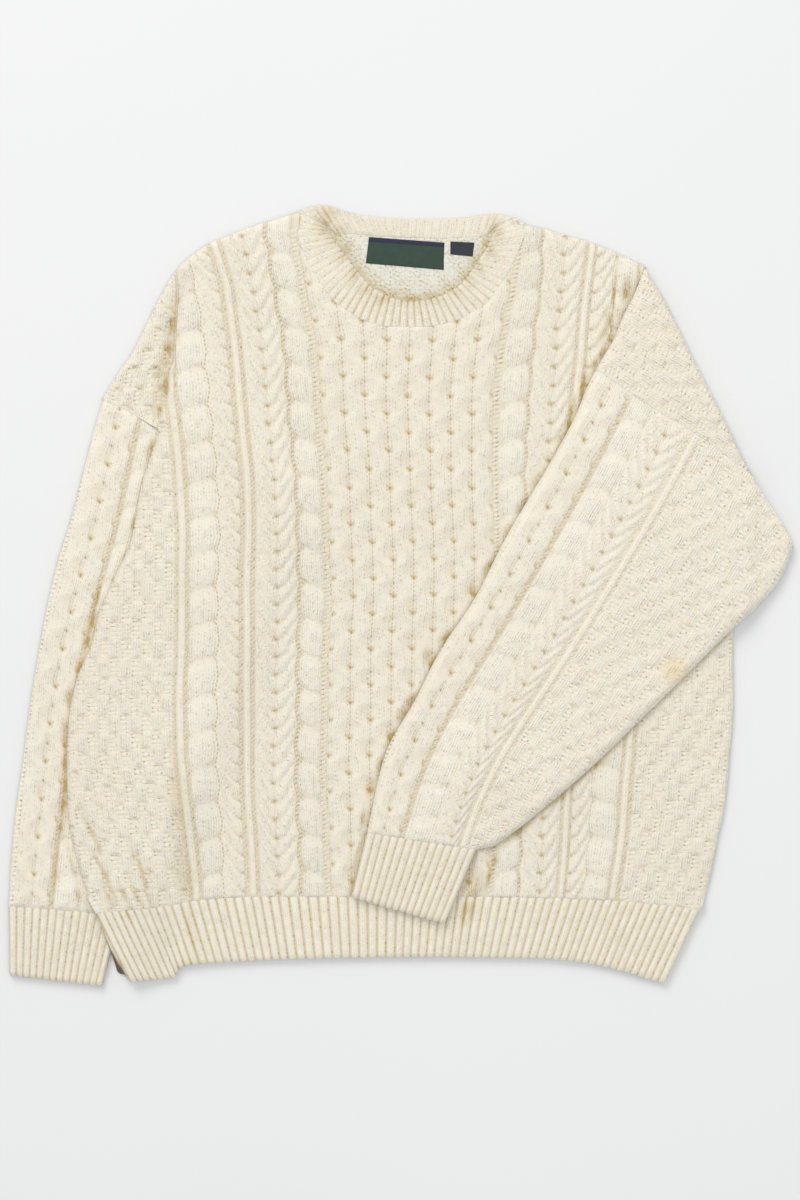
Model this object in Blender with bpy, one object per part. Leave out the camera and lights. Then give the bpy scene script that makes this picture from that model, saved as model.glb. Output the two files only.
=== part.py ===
"""Cable knit sweater, lying flat: the left sleeve runs down the side, half under the body,
and the right sleeve is folded across the front together with its shoulder.

Every size below is in millimetres: x to the right, y towards the neck, z up from the floor.
"""

import math
from collections import namedtuple

import bmesh
import bpy
from mathutils.geometry import delaunay_2d_cdt

# ---- Driving sizes -------------------------------------------------------------------
SEAM_GAP = 0.4  # between two pieces that are sewn together, and between cloth layers
BACK_WALL = 3.5  # the back panel
FRONT_GROUND = 2.8  # the front at its purl ground, with the cables standing on it
FRONT_LEVEL = BACK_WALL + SEAM_GAP  # underside of the front where the back lies on the floor
RIB_WALL = 2.6  # hem, cuffs and neckband in the furrows between ribs
RIB_PROUD = 1.6
SLEEVE_WALL = 2.9
SLEEVE_SLIT = 1.2  # air between the two walls of a flattened sleeve
PRESSED_PILE = 1.0  # cables that another layer presses flat
FLAP_WALL = 6.6  # the two shoulder layers that are folded over
STEP = 8.0  # two rows of knitting
CELL_STITCHES = 8  # honeycomb cells across the front
HEM_RIBS = 62
CUFF_RIBS = 13
NECK_RIBS = 64
LABEL_WALL = 0.8

UPPER_LEVEL = FRONT_LEVEL + FRONT_GROUND + PRESSED_PILE + SEAM_GAP  # what lies on the front

# ---- Outline and folds ---------------------------------------------------------------
# The body's left side lies over the sleeve. At each height: the fold's edge, where the
# sleeve under it ends, where the body reaches the floor, and how high the sleeve lifts it.
Lift = namedtuple("Lift", "y edge full floor height")
LEFT_SIDE = [
    Lift(*row)
    for row in (
        (285, -190, -187, -170, 0.0),
        (266, -196, -189, -160, 3.0),
        (239, -207, -198, -146, 5.0),
        (211, -212, -196, -133, 6.5),
        (180, -212, -189, -115, 7.8),
        (149, -218, -178, -92, 8.4),
        (102, -234, -119, -61, 8.4),
        (47, -245, -117, -61, 8.4),
        (19, -258, -126, -70, 8.4),
        (-17, -276, -139, -83, 8.4),
        (-45, -285, -148, -92, 8.4),
        (-76, -295, -160, -106, 8.4),
        (-113, -299, -174, -119, 8.4),
        (-186, -300, -204, -150, 8.4),
        (-214, -297, -215, -161, 8.4),
        (-242, -290, -227, -173, 8.4),
        (-269, -283, -239, -185, 8.4),
        (-288, -274, -248, -194, 8.4),
        (-316, -261, -253, -207, 8.4),
        (-346, -244, -243, -214, 4.0),
    )
]
SLOPE = ((0.0, 1.0), (0.33, 0.75), (0.67, 0.25), (1.0, 0.0))  # share across, share of height
SEAM_Y = 149  # the left armhole seam meets the fold here

ARMHOLE_LEFT = ((-270, 176), (-243, 163), (-222, 151))
SHOULDER_LEFT = ((-250, 203), (-227, 239), (-205, 279), (-191, 297), (-164, 315), (-126, 331))
SHOULDER_RIGHT = ((142, 329), (178, 313), (218, 297))
RIGHT_SIDE = (
    (297, -40), (297, -72), (297, -106), (293, -140), (288, -184), (280, -225), (276, -249),
    (270, -273),
)
HEM_TOP = (
    (-274, -284), (-218, -279), (-173, -272), (-128, -270), (-47, -270), (70, -270),
    (182, -273), (246, -280), (266, -282),
)
HEM_BOTTOM = (
    (-244, -346), (-205, -343), (-198, -333), (-144, -328), (-99, -326), (16, -324),
    (104, -325), (134, -326), (178, -332), (235, -348),
)

# The right shoulder is folded forward along this line, from its tip to the underarm corner.
FOLD_START, FOLD_END, FOLD_CORNER = (227, 273), (322, 104), (351, 43)
FOLD_MIDDLE = ((268, 194), (295, 140))
SHOULDER_TIP = (218, 297)
UNDERARM = ((321, -6), (300, -20))
ARMHOLE_RIGHT = ((263, 146), (228, 166), (178, 202))
FLAP_EDGE = ((183, 216), (196, 238), (207, 266))

NECK_OUTER = (
    (-94, 344), (-90, 347), (-72, 351), (-57, 347), (-38, 342), (-14, 339), (15, 338),
    (51, 339), (74, 342), (90, 342), (110, 333), (104, 309), (92, 285), (78, 265), (63, 254),
    (43, 245), (18, 241), (-6, 241), (-27, 244), (-43, 251), (-59, 262), (-70, 275),
    (-86, 301), (-94, 324),
)
NECK_INNER = (
    (-67, 326), (-56, 324), (-29, 323), (5, 321), (37, 320), (70, 321), (78, 322), (76, 306),
    (63, 289), (44, 275), (27, 266), (5, 263), (-14, 265), (-33, 275), (-49, 293), (-62, 312),
)
NECK_BACK_Y, NECK_FRONT_Y = 336, 321  # between these the neckband's sides climb to the front
NECK_SIDE_Y = 316  # below this all of it lies on the front's level
NECK_MIDDLE_X, NECK_FLAT, NECK_TURN = 8, 60, 12  # its back lies flat this far each way

SLEEVE_LEFT_SEAM = ((-270, 175.4), (-243, 162.4), (-222, 150.4), (-126, 97))
SLEEVE_LEFT_OUTER = (
    (-270, 175.4), (-277, 149), (-295, 68), (-317, -22), (-331, -112), (-344, -229),
    (-351, -278),
)
SLEEVE_LEFT_HIDDEN = (
    (-126, 97), (-128, 45), (-148, -22), (-184, -112), (-223, -211), (-253, -286),
)
CUFF_LEFT_OUTER = ((-351, -279), (-351, -341))
CUFF_LEFT_HIDDEN = ((-254, -288), (-261, -318), (-270, -351))
# Past the body's right side the folded sleeve sinks on to the back's turned-up edge.
SAG_START, SAG_END, SAG_LEVEL = 306, 330, FRONT_LEVEL + 0.2
SLEEVE_RIGHT_SEAM = (
    (177.5, 201.5), (227.7, 165.4), (262.7, 145.2), (316, 98.6), (323.2, 102.6), (351, 43),
)
SLEEVE_RIGHT_UPPER = (
    (177.5, 201.5), (166, 190), (153, 159), (134, 122), (115, 90), (91, 49), (65, -2), (34, -49),
    (11, -94), (-15, -141), (-32, -212),
)
SLEEVE_RIGHT_UNDER = (
    (351, 43), (339, 14), (321, -8), (293, -33), (256, -70), (211, -114), (176, -148),
    (128, -190), (83, -224), (66, -227),
)
CUFF_RIGHT_UPPER = ((-33, -213), (-40, -234), (-46, -270))
CUFF_RIGHT_UNDER = ((67, -228), (56, -262), (38, -294))
LABEL_MAIN = ((-29, 318), (37, 313), (36, 290), (-32, 296))
LABEL_CARE = ((44, 314), (64, 314), (63, 302), (43, 302))

# ---- Knitting ------------------------------------------------------------------------
# Where the columns of stitches run on the front, at each height.
Wales = namedtuple(
    "Wales",
    "y rib_1 rope_2 rib_3 plait_4 line_5 gutter_6 gutter_7 line_8 plait_9 rib_10 rope_11 rib_12",
)
FRONT_WALES = [
    Wales(*row)
    for row in (
        (320, -227, -196, -171, -144, -122, -97, 108, 126, 146, 171, 193, 216),
        (275, -216, -187, -158, -135, -116, -89, 100, 125, 143, 166, 190, 215),
        (230, -208, -179, -152, -127, -108, -81, 91, 119, 138, 161, 188, 214),
        (176, -203, -174, -147, -122, -102, -75, 84, 113, 133, 153, 185, 213),
        (115, -197, -169, -141, -118, -99, -71, 84, 111, 131, 151, 182, 210),
        (-4, -197, -167, -140, -114, -95, -67, 85, 111, 130, 150, 180, 207),
        (-145, -198, -168, -138, -116, -94, -71, 84, 108, 127, 149, 174, 203),
        (-211, -189, -163, -135, -113, -93, -68, 82, 107, 125, 145, 168, 196),
        (-280, -181, -161, -133, -110, -90, -65, 79, 103, 122, 140, 162, 186),
    )
]
# The sleeves' columns, measured across from the top fold: at the armhole, and at the cuff.
Across = namedtuple("Across", "motif gutter_1 plait_a plait_b rib gutter_2")
SLEEVE_AT_ARMHOLE = Across(19, 39, 62, 80, 106, 112)
SLEEVE_AT_CUFF = Across(14, 28, 54, 71, 93, 99)

# How far a column stands above its purl ground at four steps of its repeat, and how far its
# steps lean along the cloth from those of its neighbours.
Stitch = namedtuple("Stitch", "lean one two three four")
STITCHES = {
    "ground": Stitch(0, 0.0, 0.0, 0.0, 0.0),
    "rib": Stitch(0, 1.8, 1.8, 1.8, 1.8),
    "rope_left": Stitch(1, 0.9, 0.9, 2.1, 2.1),
    "rope_middle": Stitch(0, 2.8, 2.0, 0.9, 2.0),
    "rope_right": Stitch(-1, 0.9, 2.1, 2.1, 0.9),
    "twist_left": Stitch(-4, 2.4, 1.0, 2.4, 1.0),
    "twist_right": Stitch(4, 2.4, 1.0, 2.4, 1.0),
    "plait_side": Stitch(3, 2.4, 1.0, 2.4, 1.0),
    "plait_middle": Stitch(-2, 1.8, 0.2, 1.8, 0.2),
    "cell_edge_odd": Stitch(0, 0.0, 2.4, 0.0, 1.1),
    "cell_edge_even": Stitch(0, 0.0, 1.1, 0.0, 2.4),
    "cell_middle": Stitch(1, 2.5, 1.3, 2.5, 1.3),
    "moss": Stitch(0, 1.0, 1.0, 1.0, 1.0),
}
RIB_HALF = 5.5  # from the crest of a narrow rib to the purl gutter beside it
PLAIN_ROWS = 4  # moss ground takes one point in this many steps
CLEAR_OF_EDGE = 5.0  # raised stitches stop this far from a piece's edge
TROUGH_DOTS = 11  # along the crease beside the left shoulder
SLEEVE_ROWS = 54  # steps from the armhole to the cuff
SIDE_FOLD = 0.03  # the share of a sleeve's width that rounds over at each side
SEAM_REACH = 0.25  # the share of a sleeve over which its rows straighten
HEM_SHARES = (0.12, 0.37, 0.63, 0.88)  # a rib has points at these shares of its length
BAND_SHARES = (0.13, 0.87)  # and on the short bands at these
BAND_MARGIN = 1.2  # between a band's ribs and its edge
BAND_EDGE = 0.4  # how much lower a band is along its seam and rim
PRESSED_REACH = 4.0  # a layer on top presses what lies this near its edge
SIDE_INSET = 3.2  # wall beside the slit of a flattened sleeve
SIDE_ROUND = 0.5  # share of a sleeve's thickness that its side folds have


# ---- Reading the tables --------------------------------------------------------------
def between(a, b, share):
    return a + (b - a) * share


def read_row(table, y):
    """The row of a table at height y, mixed from the two rows around it."""
    rows = sorted(table, key=lambda row: row.y)
    y = min(max(y, rows[0].y), rows[-1].y)
    for low, high in zip(rows, rows[1:]):
        if y <= high.y:
            share = (y - low.y) / (high.y - low.y)
            return type(low)(*(between(a, b, share) for a, b in zip(low, high)))


def on_slope(share):
    for (a, high), (b, low) in zip(SLOPE, SLOPE[1:]):
        if share <= b:
            return between(high, low, (share - a) / (b - a))
    return 0.0


def lift(x, y):
    """How high the body lies above the floor, over the left sleeve."""
    row = read_row(LEFT_SIDE, y)
    if y > SEAM_Y and x < row.edge:
        return 0.0
    if x <= row.full:
        return row.height
    return row.height * on_slope(min((x - row.full) / (row.floor - row.full), 1.0))


def walk(line, shares):
    """Points at these shares of a line's length."""
    lengths = [math.dist(a, b) for a, b in zip(line, line[1:])]
    total = sum(lengths)
    points = []
    for share in shares:
        left = share * total
        for a, b, length in zip(line, line[1:], lengths):
            if left <= length or b is line[-1]:
                t = min(left / length, 1.0)
                points.append((between(a[0], b[0], t), between(a[1], b[1], t)))
                break
            left -= length
    return points


def steps(count):
    return [i / count for i in range(count + 1)]


def spaced(line, spacing):
    """The line's own corners, with points added so that none are further apart than this."""
    points = [line[0]]
    for a, b in zip(line, line[1:]):
        parts = max(1, math.ceil(math.dist(a, b) / spacing))
        points += [(between(a[0], b[0], k / parts), between(a[1], b[1], k / parts))
                   for k in range(1, parts + 1)]
    return points


def inside(point, loop):
    x, y = point
    odd = False
    for (ax, ay), (bx, by) in zip(loop, loop[1:] + loop[:1]):
        if (ay > y) != (by > y) and x < ax + (y - ay) * (bx - ax) / (by - ay):
            odd = not odd
    return odd


def distance(point, loop):
    """How far a point is from a closed loop."""
    x, y = point
    nearest = math.inf
    for (ax, ay), (bx, by) in zip(loop, loop[1:] + loop[:1]):
        dx, dy = bx - ax, by - ay
        t = ((x - ax) * dx + (y - ay) * dy) / (dx * dx + dy * dy)
        t = min(max(t, 0.0), 1.0)
        nearest = min(nearest, math.hypot(x - ax - t * dx, y - ay - t * dy))
    return nearest


def shrunk(loop, amount):
    """A closed loop moved inwards; a negative amount moves it out."""
    area = sum(a[0] * b[1] - b[0] * a[1] for a, b in zip(loop, loop[1:] + loop[:1]))
    side = 1 if area > 0 else -1
    moved = []
    for before, here, after in zip(loop[-1:] + loop[:-1], loop, loop[1:] + loop[:1]):
        dx, dy = after[0] - before[0], after[1] - before[1]
        long = math.hypot(dx, dy)
        moved.append((here[0] - side * dy / long * amount, here[1] + side * dx / long * amount))
    return moved


# ---- Making meshes -------------------------------------------------------------------
def fenced(triangles, fences):
    """The triangles that lie inside the fences, found by stepping in from outside."""
    users = {}
    for index, ids in enumerate(triangles):
        for a, b in zip(ids, ids[1:] + ids[:1]):
            users.setdefault(frozenset((a, b)), []).append(index)
    within = {}
    for edge, by in users.items():
        if len(by) == 1:
            within.setdefault(by[0], edge in fences)
    waiting = list(within)
    while waiting:
        here = waiting.pop()
        ids = triangles[here]
        for a, b in zip(ids, ids[1:] + ids[:1]):
            edge = frozenset((a, b))
            for there in users[edge]:
                if there not in within:
                    within[there] = within[here] != (edge in fences)
                    waiting.append(there)
    return [ids for index, ids in enumerate(triangles) if within[index]]


class Cloth:
    """Gathers the skins of one piece and makes its object."""

    def __init__(self):
        self.points = []
        self.faces = []

    def add(self, point, z):
        self.points.append((point[0], point[1], z))
        return len(self.points) - 1

    def skin(self, loops, dots, creases=()):
        """A triangulated surface over closed loops, the first the outline and the others
        holes, and loose dots inside it. Each point is (x, y, z), and creases are pairs of
        dots that an edge has to join. Returns the loops' indices."""
        flat, edges, rings = [], [], []
        for loop in loops:
            start = len(flat)
            flat += loop
            ring = list(range(start, start + len(loop)))
            edges += list(zip(ring, ring[1:] + ring[:1]))
            rings.append(ring)
        fences = {frozenset(edge) for edge in edges}
        edges += [(len(flat) + a, len(flat) + b) for a, b in creases]
        flat += dots
        made = delaunay_2d_cdt([p[:2] for p in flat], edges, [], 0, 1e-4, True)
        first = [self.add(p, p[2]) for p in flat]
        triangles = [[made[3][i][0] for i in face] for face in made[2]]
        self.faces += [[first[i] for i in ids] for ids in fenced(triangles, fences)]
        return [[first[i] for i in ring] for ring in rings]

    def strip(self, one, two, closed=False):
        """Quads between two rows of points with the same count."""
        one, two = list(one), list(two)
        if closed:
            one, two = one + one[:1], two + two[:1]
        for a, b, c, d in zip(one, one[1:], two[1:], two):
            self.faces.append([a, b, c, d])

    def finish(self, name, material):
        mesh = bpy.data.meshes.new(name)
        scale = 0.001
        mesh.from_pydata([tuple(c * scale for c in p) for p in self.points], [], self.faces)
        work = bmesh.new()
        work.from_mesh(mesh)
        bmesh.ops.recalc_face_normals(work, faces=work.faces)
        bmesh.ops.triangulate(work, faces=work.faces)
        work.to_mesh(mesh)
        work.free()
        mesh.materials.append(material)
        made = bpy.data.objects.new(name, mesh)
        garment.objects.link(made)
        return made


def wall(cloth, loops, top, bottom, top_dots, bottom_dots, creases=()):
    """A panel with a wall: an upper and a lower skin joined round every loop."""
    upper = cloth.skin([[(x, y, top(x, y)) for x, y in loop] for loop in loops], top_dots,
                       creases)
    lower = cloth.skin([[(x, y, bottom(x, y)) for x, y in loop] for loop in loops], bottom_dots)
    for one, two in zip(upper, lower):
        cloth.strip(one, two, closed=True)


def yarn(name, colour, roughness):
    material = bpy.data.materials.new(name)
    material.use_nodes = True
    shader = material.node_tree.nodes["Principled BSDF"]
    shader.inputs["Base Color"].default_value = (*colour, 1.0)
    shader.inputs["Roughness"].default_value = roughness
    shader.inputs["Metallic"].default_value = 0.0
    return material


# ---- The body ------------------------------------------------------------------------
def side_rows():
    return [row for row in LEFT_SIDE if row.y <= SEAM_Y and row.y > HEM_TOP[0][1] + 2]


def left_edge():
    """The body's left edge from the armhole seam down to the hem."""
    return [(row.edge, row.y) for row in side_rows()]


def lift_dots(level, rows=None, clear=None):
    """Dots along the breaks of the slope over the left sleeve, all at the same level above
    it, so that the layers on each other bend alike."""
    dots = []
    for row in rows or LEFT_SIDE:
        shares = [share for share, _ in SLOPE]
        for share in shares:
            dots.append((between(row.full, row.floor, share), row.y))
    if rows is None:
        dots += trough_dots()
    return [(x, y, level + lift(x, y)) for x, y in dots if clear is None or clear((x, y))]


def trough_dots():
    """Dots on both sides of the deep crease beside the left shoulder."""
    dots = []
    top, bottom = LEFT_SIDE[0].y - 8, SEAM_Y + 8
    for k in range(TROUGH_DOTS):
        y = between(bottom, top, k / (TROUGH_DOTS - 1))
        edge = read_row(LEFT_SIDE, y).edge
        dots += [(edge - 12, y), (edge - 3, y), (edge + 0.5, y)]
    return dots


def fold_line():
    return spaced((FOLD_START, *FOLD_MIDDLE, FOLD_END), 22)


def body_outline(right, neck):
    """The body's loop above the hem: left edge down, along the hem, up the right side."""
    hem = [(x, y + SEAM_GAP / 2) for x, y in HEM_TOP]
    return (list(ARMHOLE_LEFT) + left_edge() + spaced(hem, 40) + list(reversed(RIGHT_SIDE))
            + right + neck + list(reversed(SHOULDER_LEFT)))


def make_back():
    """The bottom layer. Past the fold it turns up and over as the shoulder flap."""
    turn = (UPPER_LEVEL + FLAP_WALL) / 2  # radius of the fold outside
    hollow = (UPPER_LEVEL - BACK_WALL) / 2  # and inside
    out = (0.872, 0.489)  # across the fold line, away from the body
    folds = [(x - out[0] * turn, y - out[1] * turn) for x, y in fold_line()]
    neck = [(113, 333), (108, 309), (80, 309), (75, 316), (70, 319.5), (37, 319), (5, 320),
            (-29, 322), (-54, 322.5), (-61, 317), (-68, 309), (-91, 309), (-96, 322), (-97, 342)]
    right = [*reversed(UNDERARM), FOLD_CORNER, *reversed(folds), SHOULDER_TIP,
             *reversed(SHOULDER_RIGHT[:-1])]
    outline = body_outline(right, neck)
    cloth = Cloth()

    def clear(point):
        return inside(point, outline) and distance(point, outline) > 2.5

    def top(x, y):
        return lift(x, y) + BACK_WALL

    above = cloth.skin([[(x, y, top(x, y)) for x, y in outline]],
                       lift_dots(BACK_WALL, clear=clear))[0]
    below = cloth.skin([[(x, y, lift(x, y)) for x, y in outline]],
                       lift_dots(0.0, clear=clear))[0]
    first = outline.index(folds[-1])
    last = outline.index(folds[0])
    around = list(range(last, len(outline))) + list(range(0, first + 1))
    cloth.strip([above[i] for i in around], [below[i] for i in around])

    flap = list(folds) + list(ARMHOLE_RIGHT) + list(FLAP_EDGE)
    flap_top = cloth.skin([[(x, y, UPPER_LEVEL + FLAP_WALL) for x, y in flap]], [])[0]
    flap_under = cloth.skin([[(x, y, UPPER_LEVEL) for x, y in flap]], [])[0]
    count = len(folds)
    rest = list(range(count - 1, len(flap))) + [0]
    cloth.strip([flap_top[i] for i in rest], [flap_under[i] for i in rest])

    def turned(point, radius, base, share):
        angle = math.pi * share
        reach = radius * math.sin(angle)
        return cloth.add((point[0] + out[0] * reach, point[1] + out[1] * reach),
                         base + radius * (1 - math.cos(angle)))

    outside, within = [], []
    parts = 6
    for k in range(parts + 1):
        if k == 0:
            outside.append([below[outline.index(p)] for p in folds])
            within.append([above[outline.index(p)] for p in folds])
        elif k == parts:
            outside.append(flap_top[:count])
            within.append(flap_under[:count])
        else:
            outside.append([turned(p, turn, 0.0, k / parts) for p in folds])
            within.append([turned(p, hollow, BACK_WALL, k / parts) for p in folds])
    for rows in (outside, within):
        for one, two in zip(rows, rows[1:]):
            cloth.strip(one, two)
    for end in (0, -1):
        cloth.strip([row[end] for row in outside], [row[end] for row in within])
    return cloth.finish("back", WOOL_BODY)


def front_columns(y):
    """Each column of points across the front at one height: x, and the stitch it carries."""
    row = read_row(FRONT_WALES, y)
    columns = []

    def rope(left, right, stitches):
        for k, stitch in enumerate(stitches):
            columns.append((between(left, right, (k + 1) / (len(stitches) + 1)), stitch))

    def rib(x):
        columns.extend([(x - RIB_HALF, "ground"), (x, "rib"), (x + RIB_HALF, "ground")])

    rib(row.rib_1)
    rope(row.rib_1 + RIB_HALF, row.rope_2, ("rope_left", "rope_middle", "rope_right"))
    columns.append((row.rope_2, "ground"))
    rope(row.rope_2, row.rib_3 - RIB_HALF, ("twist_left", "twist_right"))
    rib(row.rib_3)
    rope(row.rib_3 + RIB_HALF, row.plait_4, ("plait_side",))
    columns.append((row.plait_4, "plait_middle"))
    rope(row.plait_4, row.line_5, ("plait_side",))
    columns.append((row.line_5, "ground"))
    rope(row.line_5, row.gutter_6, ("rope_left", "rope_middle", "rope_right"))
    columns.append((row.gutter_6, "ground"))
    for k in range(1, 2 * CELL_STITCHES):
        edge = ("cell_edge_odd", "cell_edge_even")[k // 2 % 2]
        x = between(row.gutter_6, row.gutter_7, k / (2 * CELL_STITCHES))
        columns.append((x, "cell_middle" if k % 2 else edge))
    columns.append((row.gutter_7, "ground"))
    rope(row.gutter_7, row.line_8, ("rope_right", "rope_middle", "rope_left"))
    columns.append((row.line_8, "ground"))
    rope(row.line_8, row.plait_9, ("plait_side",))
    columns.append((row.plait_9, "plait_middle"))
    rope(row.plait_9, row.rib_10 - RIB_HALF, ("plait_side",))
    rib(row.rib_10)
    rope(row.rib_10 + RIB_HALF, row.rope_11, ("twist_right", "twist_left"))
    columns.append((row.rope_11, "ground"))
    rope(row.rope_11, row.rib_12 - RIB_HALF, ("rope_right", "rope_middle", "rope_left"))
    rib(row.rib_12)
    return columns


def folded_over():
    """The region of the front that the right sleeve, its cuff and the flap cover."""
    return (list(SLEEVE_RIGHT_UPPER) + list(CUFF_RIGHT_UPPER[1:])
            + list(reversed(CUFF_RIGHT_UNDER)) + list(reversed(SLEEVE_RIGHT_UNDER[:-2]))
            + [FOLD_END, *reversed(FOLD_MIDDLE), FOLD_START] + list(reversed(FLAP_EDGE)))


def make_front():
    """The upper layer, its knitting raised above a plain inside."""
    # under the flap and the sleeve the edge stays clear of the fold's inside
    hidden = [(297, -20), (299, 60), (303, 95), (279, 128), (255, 172), (217, 250), (207, 278)]
    neck = [(118, 335)] + shrunk(list(NECK_OUTER), -SEAM_GAP)[10:] + [(-98, 341)]
    outline = body_outline(hidden + [(196, 302), (178, 313), (142, 329)], neck)
    covered = folded_over()
    ground = FRONT_LEVEL + FRONT_GROUND
    dots = []
    rows = int((SHOULDER_TIP[1] + 50 - HEM_TOP[3][1]) / STEP)
    for j in range(1, rows):
        y = HEM_TOP[3][1] + j * STEP
        for x, name in front_columns(y):
            stitch = STITCHES[name]
            point = (x, y + stitch.lean)
            if not inside(point, outline) or distance(point, outline) < CLEAR_OF_EDGE:
                continue
            if y > SEAM_Y and x < read_row(LEFT_SIDE, y).edge + CLEAR_OF_EDGE:
                continue
            if inside(point, covered) or distance(point, covered) < CLEAR_OF_EDGE:
                continue
            dots.append((*point, ground + lift(*point) + stitch[1 + j % 4]))
        if j % PLAIN_ROWS == 0:
            row = read_row(LEFT_SIDE, y)
            near = front_columns(y)[0][0] - RIB_HALF
            places = [between(row.edge, near, share) for share in (0.08, 0.36, 0.66, 0.96)]
            if y > SEAM_Y:
                places = [row.edge - 24, row.edge - 40]
            for x in places:
                point = (x, y)
                if inside(point, outline) and distance(point, outline) > CLEAR_OF_EDGE:
                    dots.append((*point, ground + lift(*point) + PRESSED_PILE))
            far = front_columns(y)[-1][0] + RIB_HALF
            for x in (far + 18, far + 40, far + 62):
                point = (x, y)
                if (inside(point, outline) and distance(point, outline) > CLEAR_OF_EDGE
                        and not inside(point, covered)
                        and distance(point, covered) > CLEAR_OF_EDGE):
                    dots.append((*point, ground + PRESSED_PILE))
    for x, y in spaced(shrunk(covered, 2.0), 16):
        if inside((x, y), outline) and distance((x, y), outline) > CLEAR_OF_EDGE:
            dots.append((x, y, ground + PRESSED_PILE))
    for x, y in trough_dots():
        if distance((x, y), outline) > 2.5:
            dots.append((x, y, ground + lift(x, y)))

    def clear(point):
        return inside(point, outline) and distance(point, outline) > 2.5

    cloth = Cloth()
    wall(cloth, [outline], lambda x, y: ground + lift(x, y) - 0.6,
         lambda x, y: FRONT_LEVEL + lift(x, y), dots, lift_dots(FRONT_LEVEL, clear=clear))
    return cloth.finish("front", WOOL_BODY)


# ---- Ribbed bands --------------------------------------------------------------------
def make_hem(name, level, ribs, proud, covered=None):
    """One layer of the hem: ribs run from the body's edge to the rim and fan at the corners."""
    shares = steps(2 * ribs)
    top_line = walk([(x, y - SEAM_GAP / 2) for x, y in HEM_TOP], shares)
    rim = walk(HEM_BOTTOM, shares)
    low = [row for row in LEFT_SIDE if HEM_BOTTOM[0][1] < row.y < HEM_TOP[0][1]]
    left = [(row.edge, row.y) for row in low]
    outline = top_line + [(262, -290), (243, -321)] + list(reversed(rim)) + left[::-1]
    dots, creases = [], []
    for k, (a, b) in enumerate(zip(top_line, rim)):
        if not proud or k in (0, len(rim) - 1):
            continue
        before = None
        for share in HEM_SHARES:
            x, y = between(a[0], b[0], share), between(a[1], b[1], share)
            if not inside((x, y), outline) or distance((x, y), outline) < BAND_MARGIN:
                before = None
                continue
            height = k % 2 * proud
            if inside((x, y), covered) or distance((x, y), covered) < PRESSED_REACH:
                height /= 2
            if before is not None:
                creases.append((before, len(dots)))
            before = len(dots)
            dots.append((x, y, level + RIB_WALL + lift(x, y) + height))

    def clear(point):
        return inside(point, outline) and distance(point, outline) > 2.5

    under = lift_dots(level, rows=low, clear=clear)
    if not dots:
        dots = lift_dots(level + RIB_WALL, rows=low, clear=clear)
    cloth = Cloth()
    wall(cloth, [outline], lambda x, y: level + RIB_WALL + lift(x, y),
         lambda x, y: level + lift(x, y), dots, under, creases)
    return cloth.finish(name, WOOL_RIB)


def make_neckband():
    """The neckband's ring: its front half lies on the front's level, its back half flat on
    the floor with the inner face up."""
    def level(x, y):
        if y < NECK_SIDE_Y:
            return FRONT_LEVEL
        climb = (NECK_BACK_Y - y) / (NECK_BACK_Y - NECK_FRONT_Y)
        sideways = (abs(x - NECK_MIDDLE_X) - NECK_FLAT) / NECK_TURN
        return FRONT_LEVEL * min(max(climb, 0.0), 1.0) * min(max(sideways, 0.0), 1.0)

    outer = walk(list(NECK_OUTER) + [NECK_OUTER[0]], steps(2 * NECK_RIBS))[:-1]
    inner = walk(list(NECK_INNER) + [NECK_INNER[0]], steps(2 * NECK_RIBS))[:-1]
    dots = []
    for k, (a, b) in enumerate(zip(outer, inner)):
        for share in BAND_SHARES:
            x, y = between(a[0], b[0], share), between(a[1], b[1], share)
            dots.append((x, y, level(x, y) + RIB_WALL + k % 2 * RIB_PROUD))
    creases = [(k, k + 1) for k in range(0, len(dots), len(BAND_SHARES))]
    cloth = Cloth()
    wall(cloth, [outer, inner], lambda x, y: level(x, y) + RIB_WALL - BAND_EDGE, level, dots,
         [], creases)
    return cloth.finish("neckband", WOOL_RIB)


# ---- Sleeves and cuffs ---------------------------------------------------------------
def tube_point(edge_a, edge_b, seam, along, over):
    """A place on a tube: along it from the seam, and over it from side fold a to side b. The
    first stretch of its rows bends from the seam's line to straight ones."""
    (a,), (b,) = walk(edge_a, (along,)), walk(edge_b, (along,))
    x, y = between(a[0], b[0], over), between(a[1], b[1], over)
    if seam and along < SEAM_REACH:
        (on_seam,) = walk(seam, (over,))
        fade = 1 - along / SEAM_REACH
        x += (on_seam[0] - between(seam[0][0], seam[-1][0], over)) * fade
        y += (on_seam[1] - between(seam[0][1], seam[-1][1], over)) * fade
    return x, y


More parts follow.
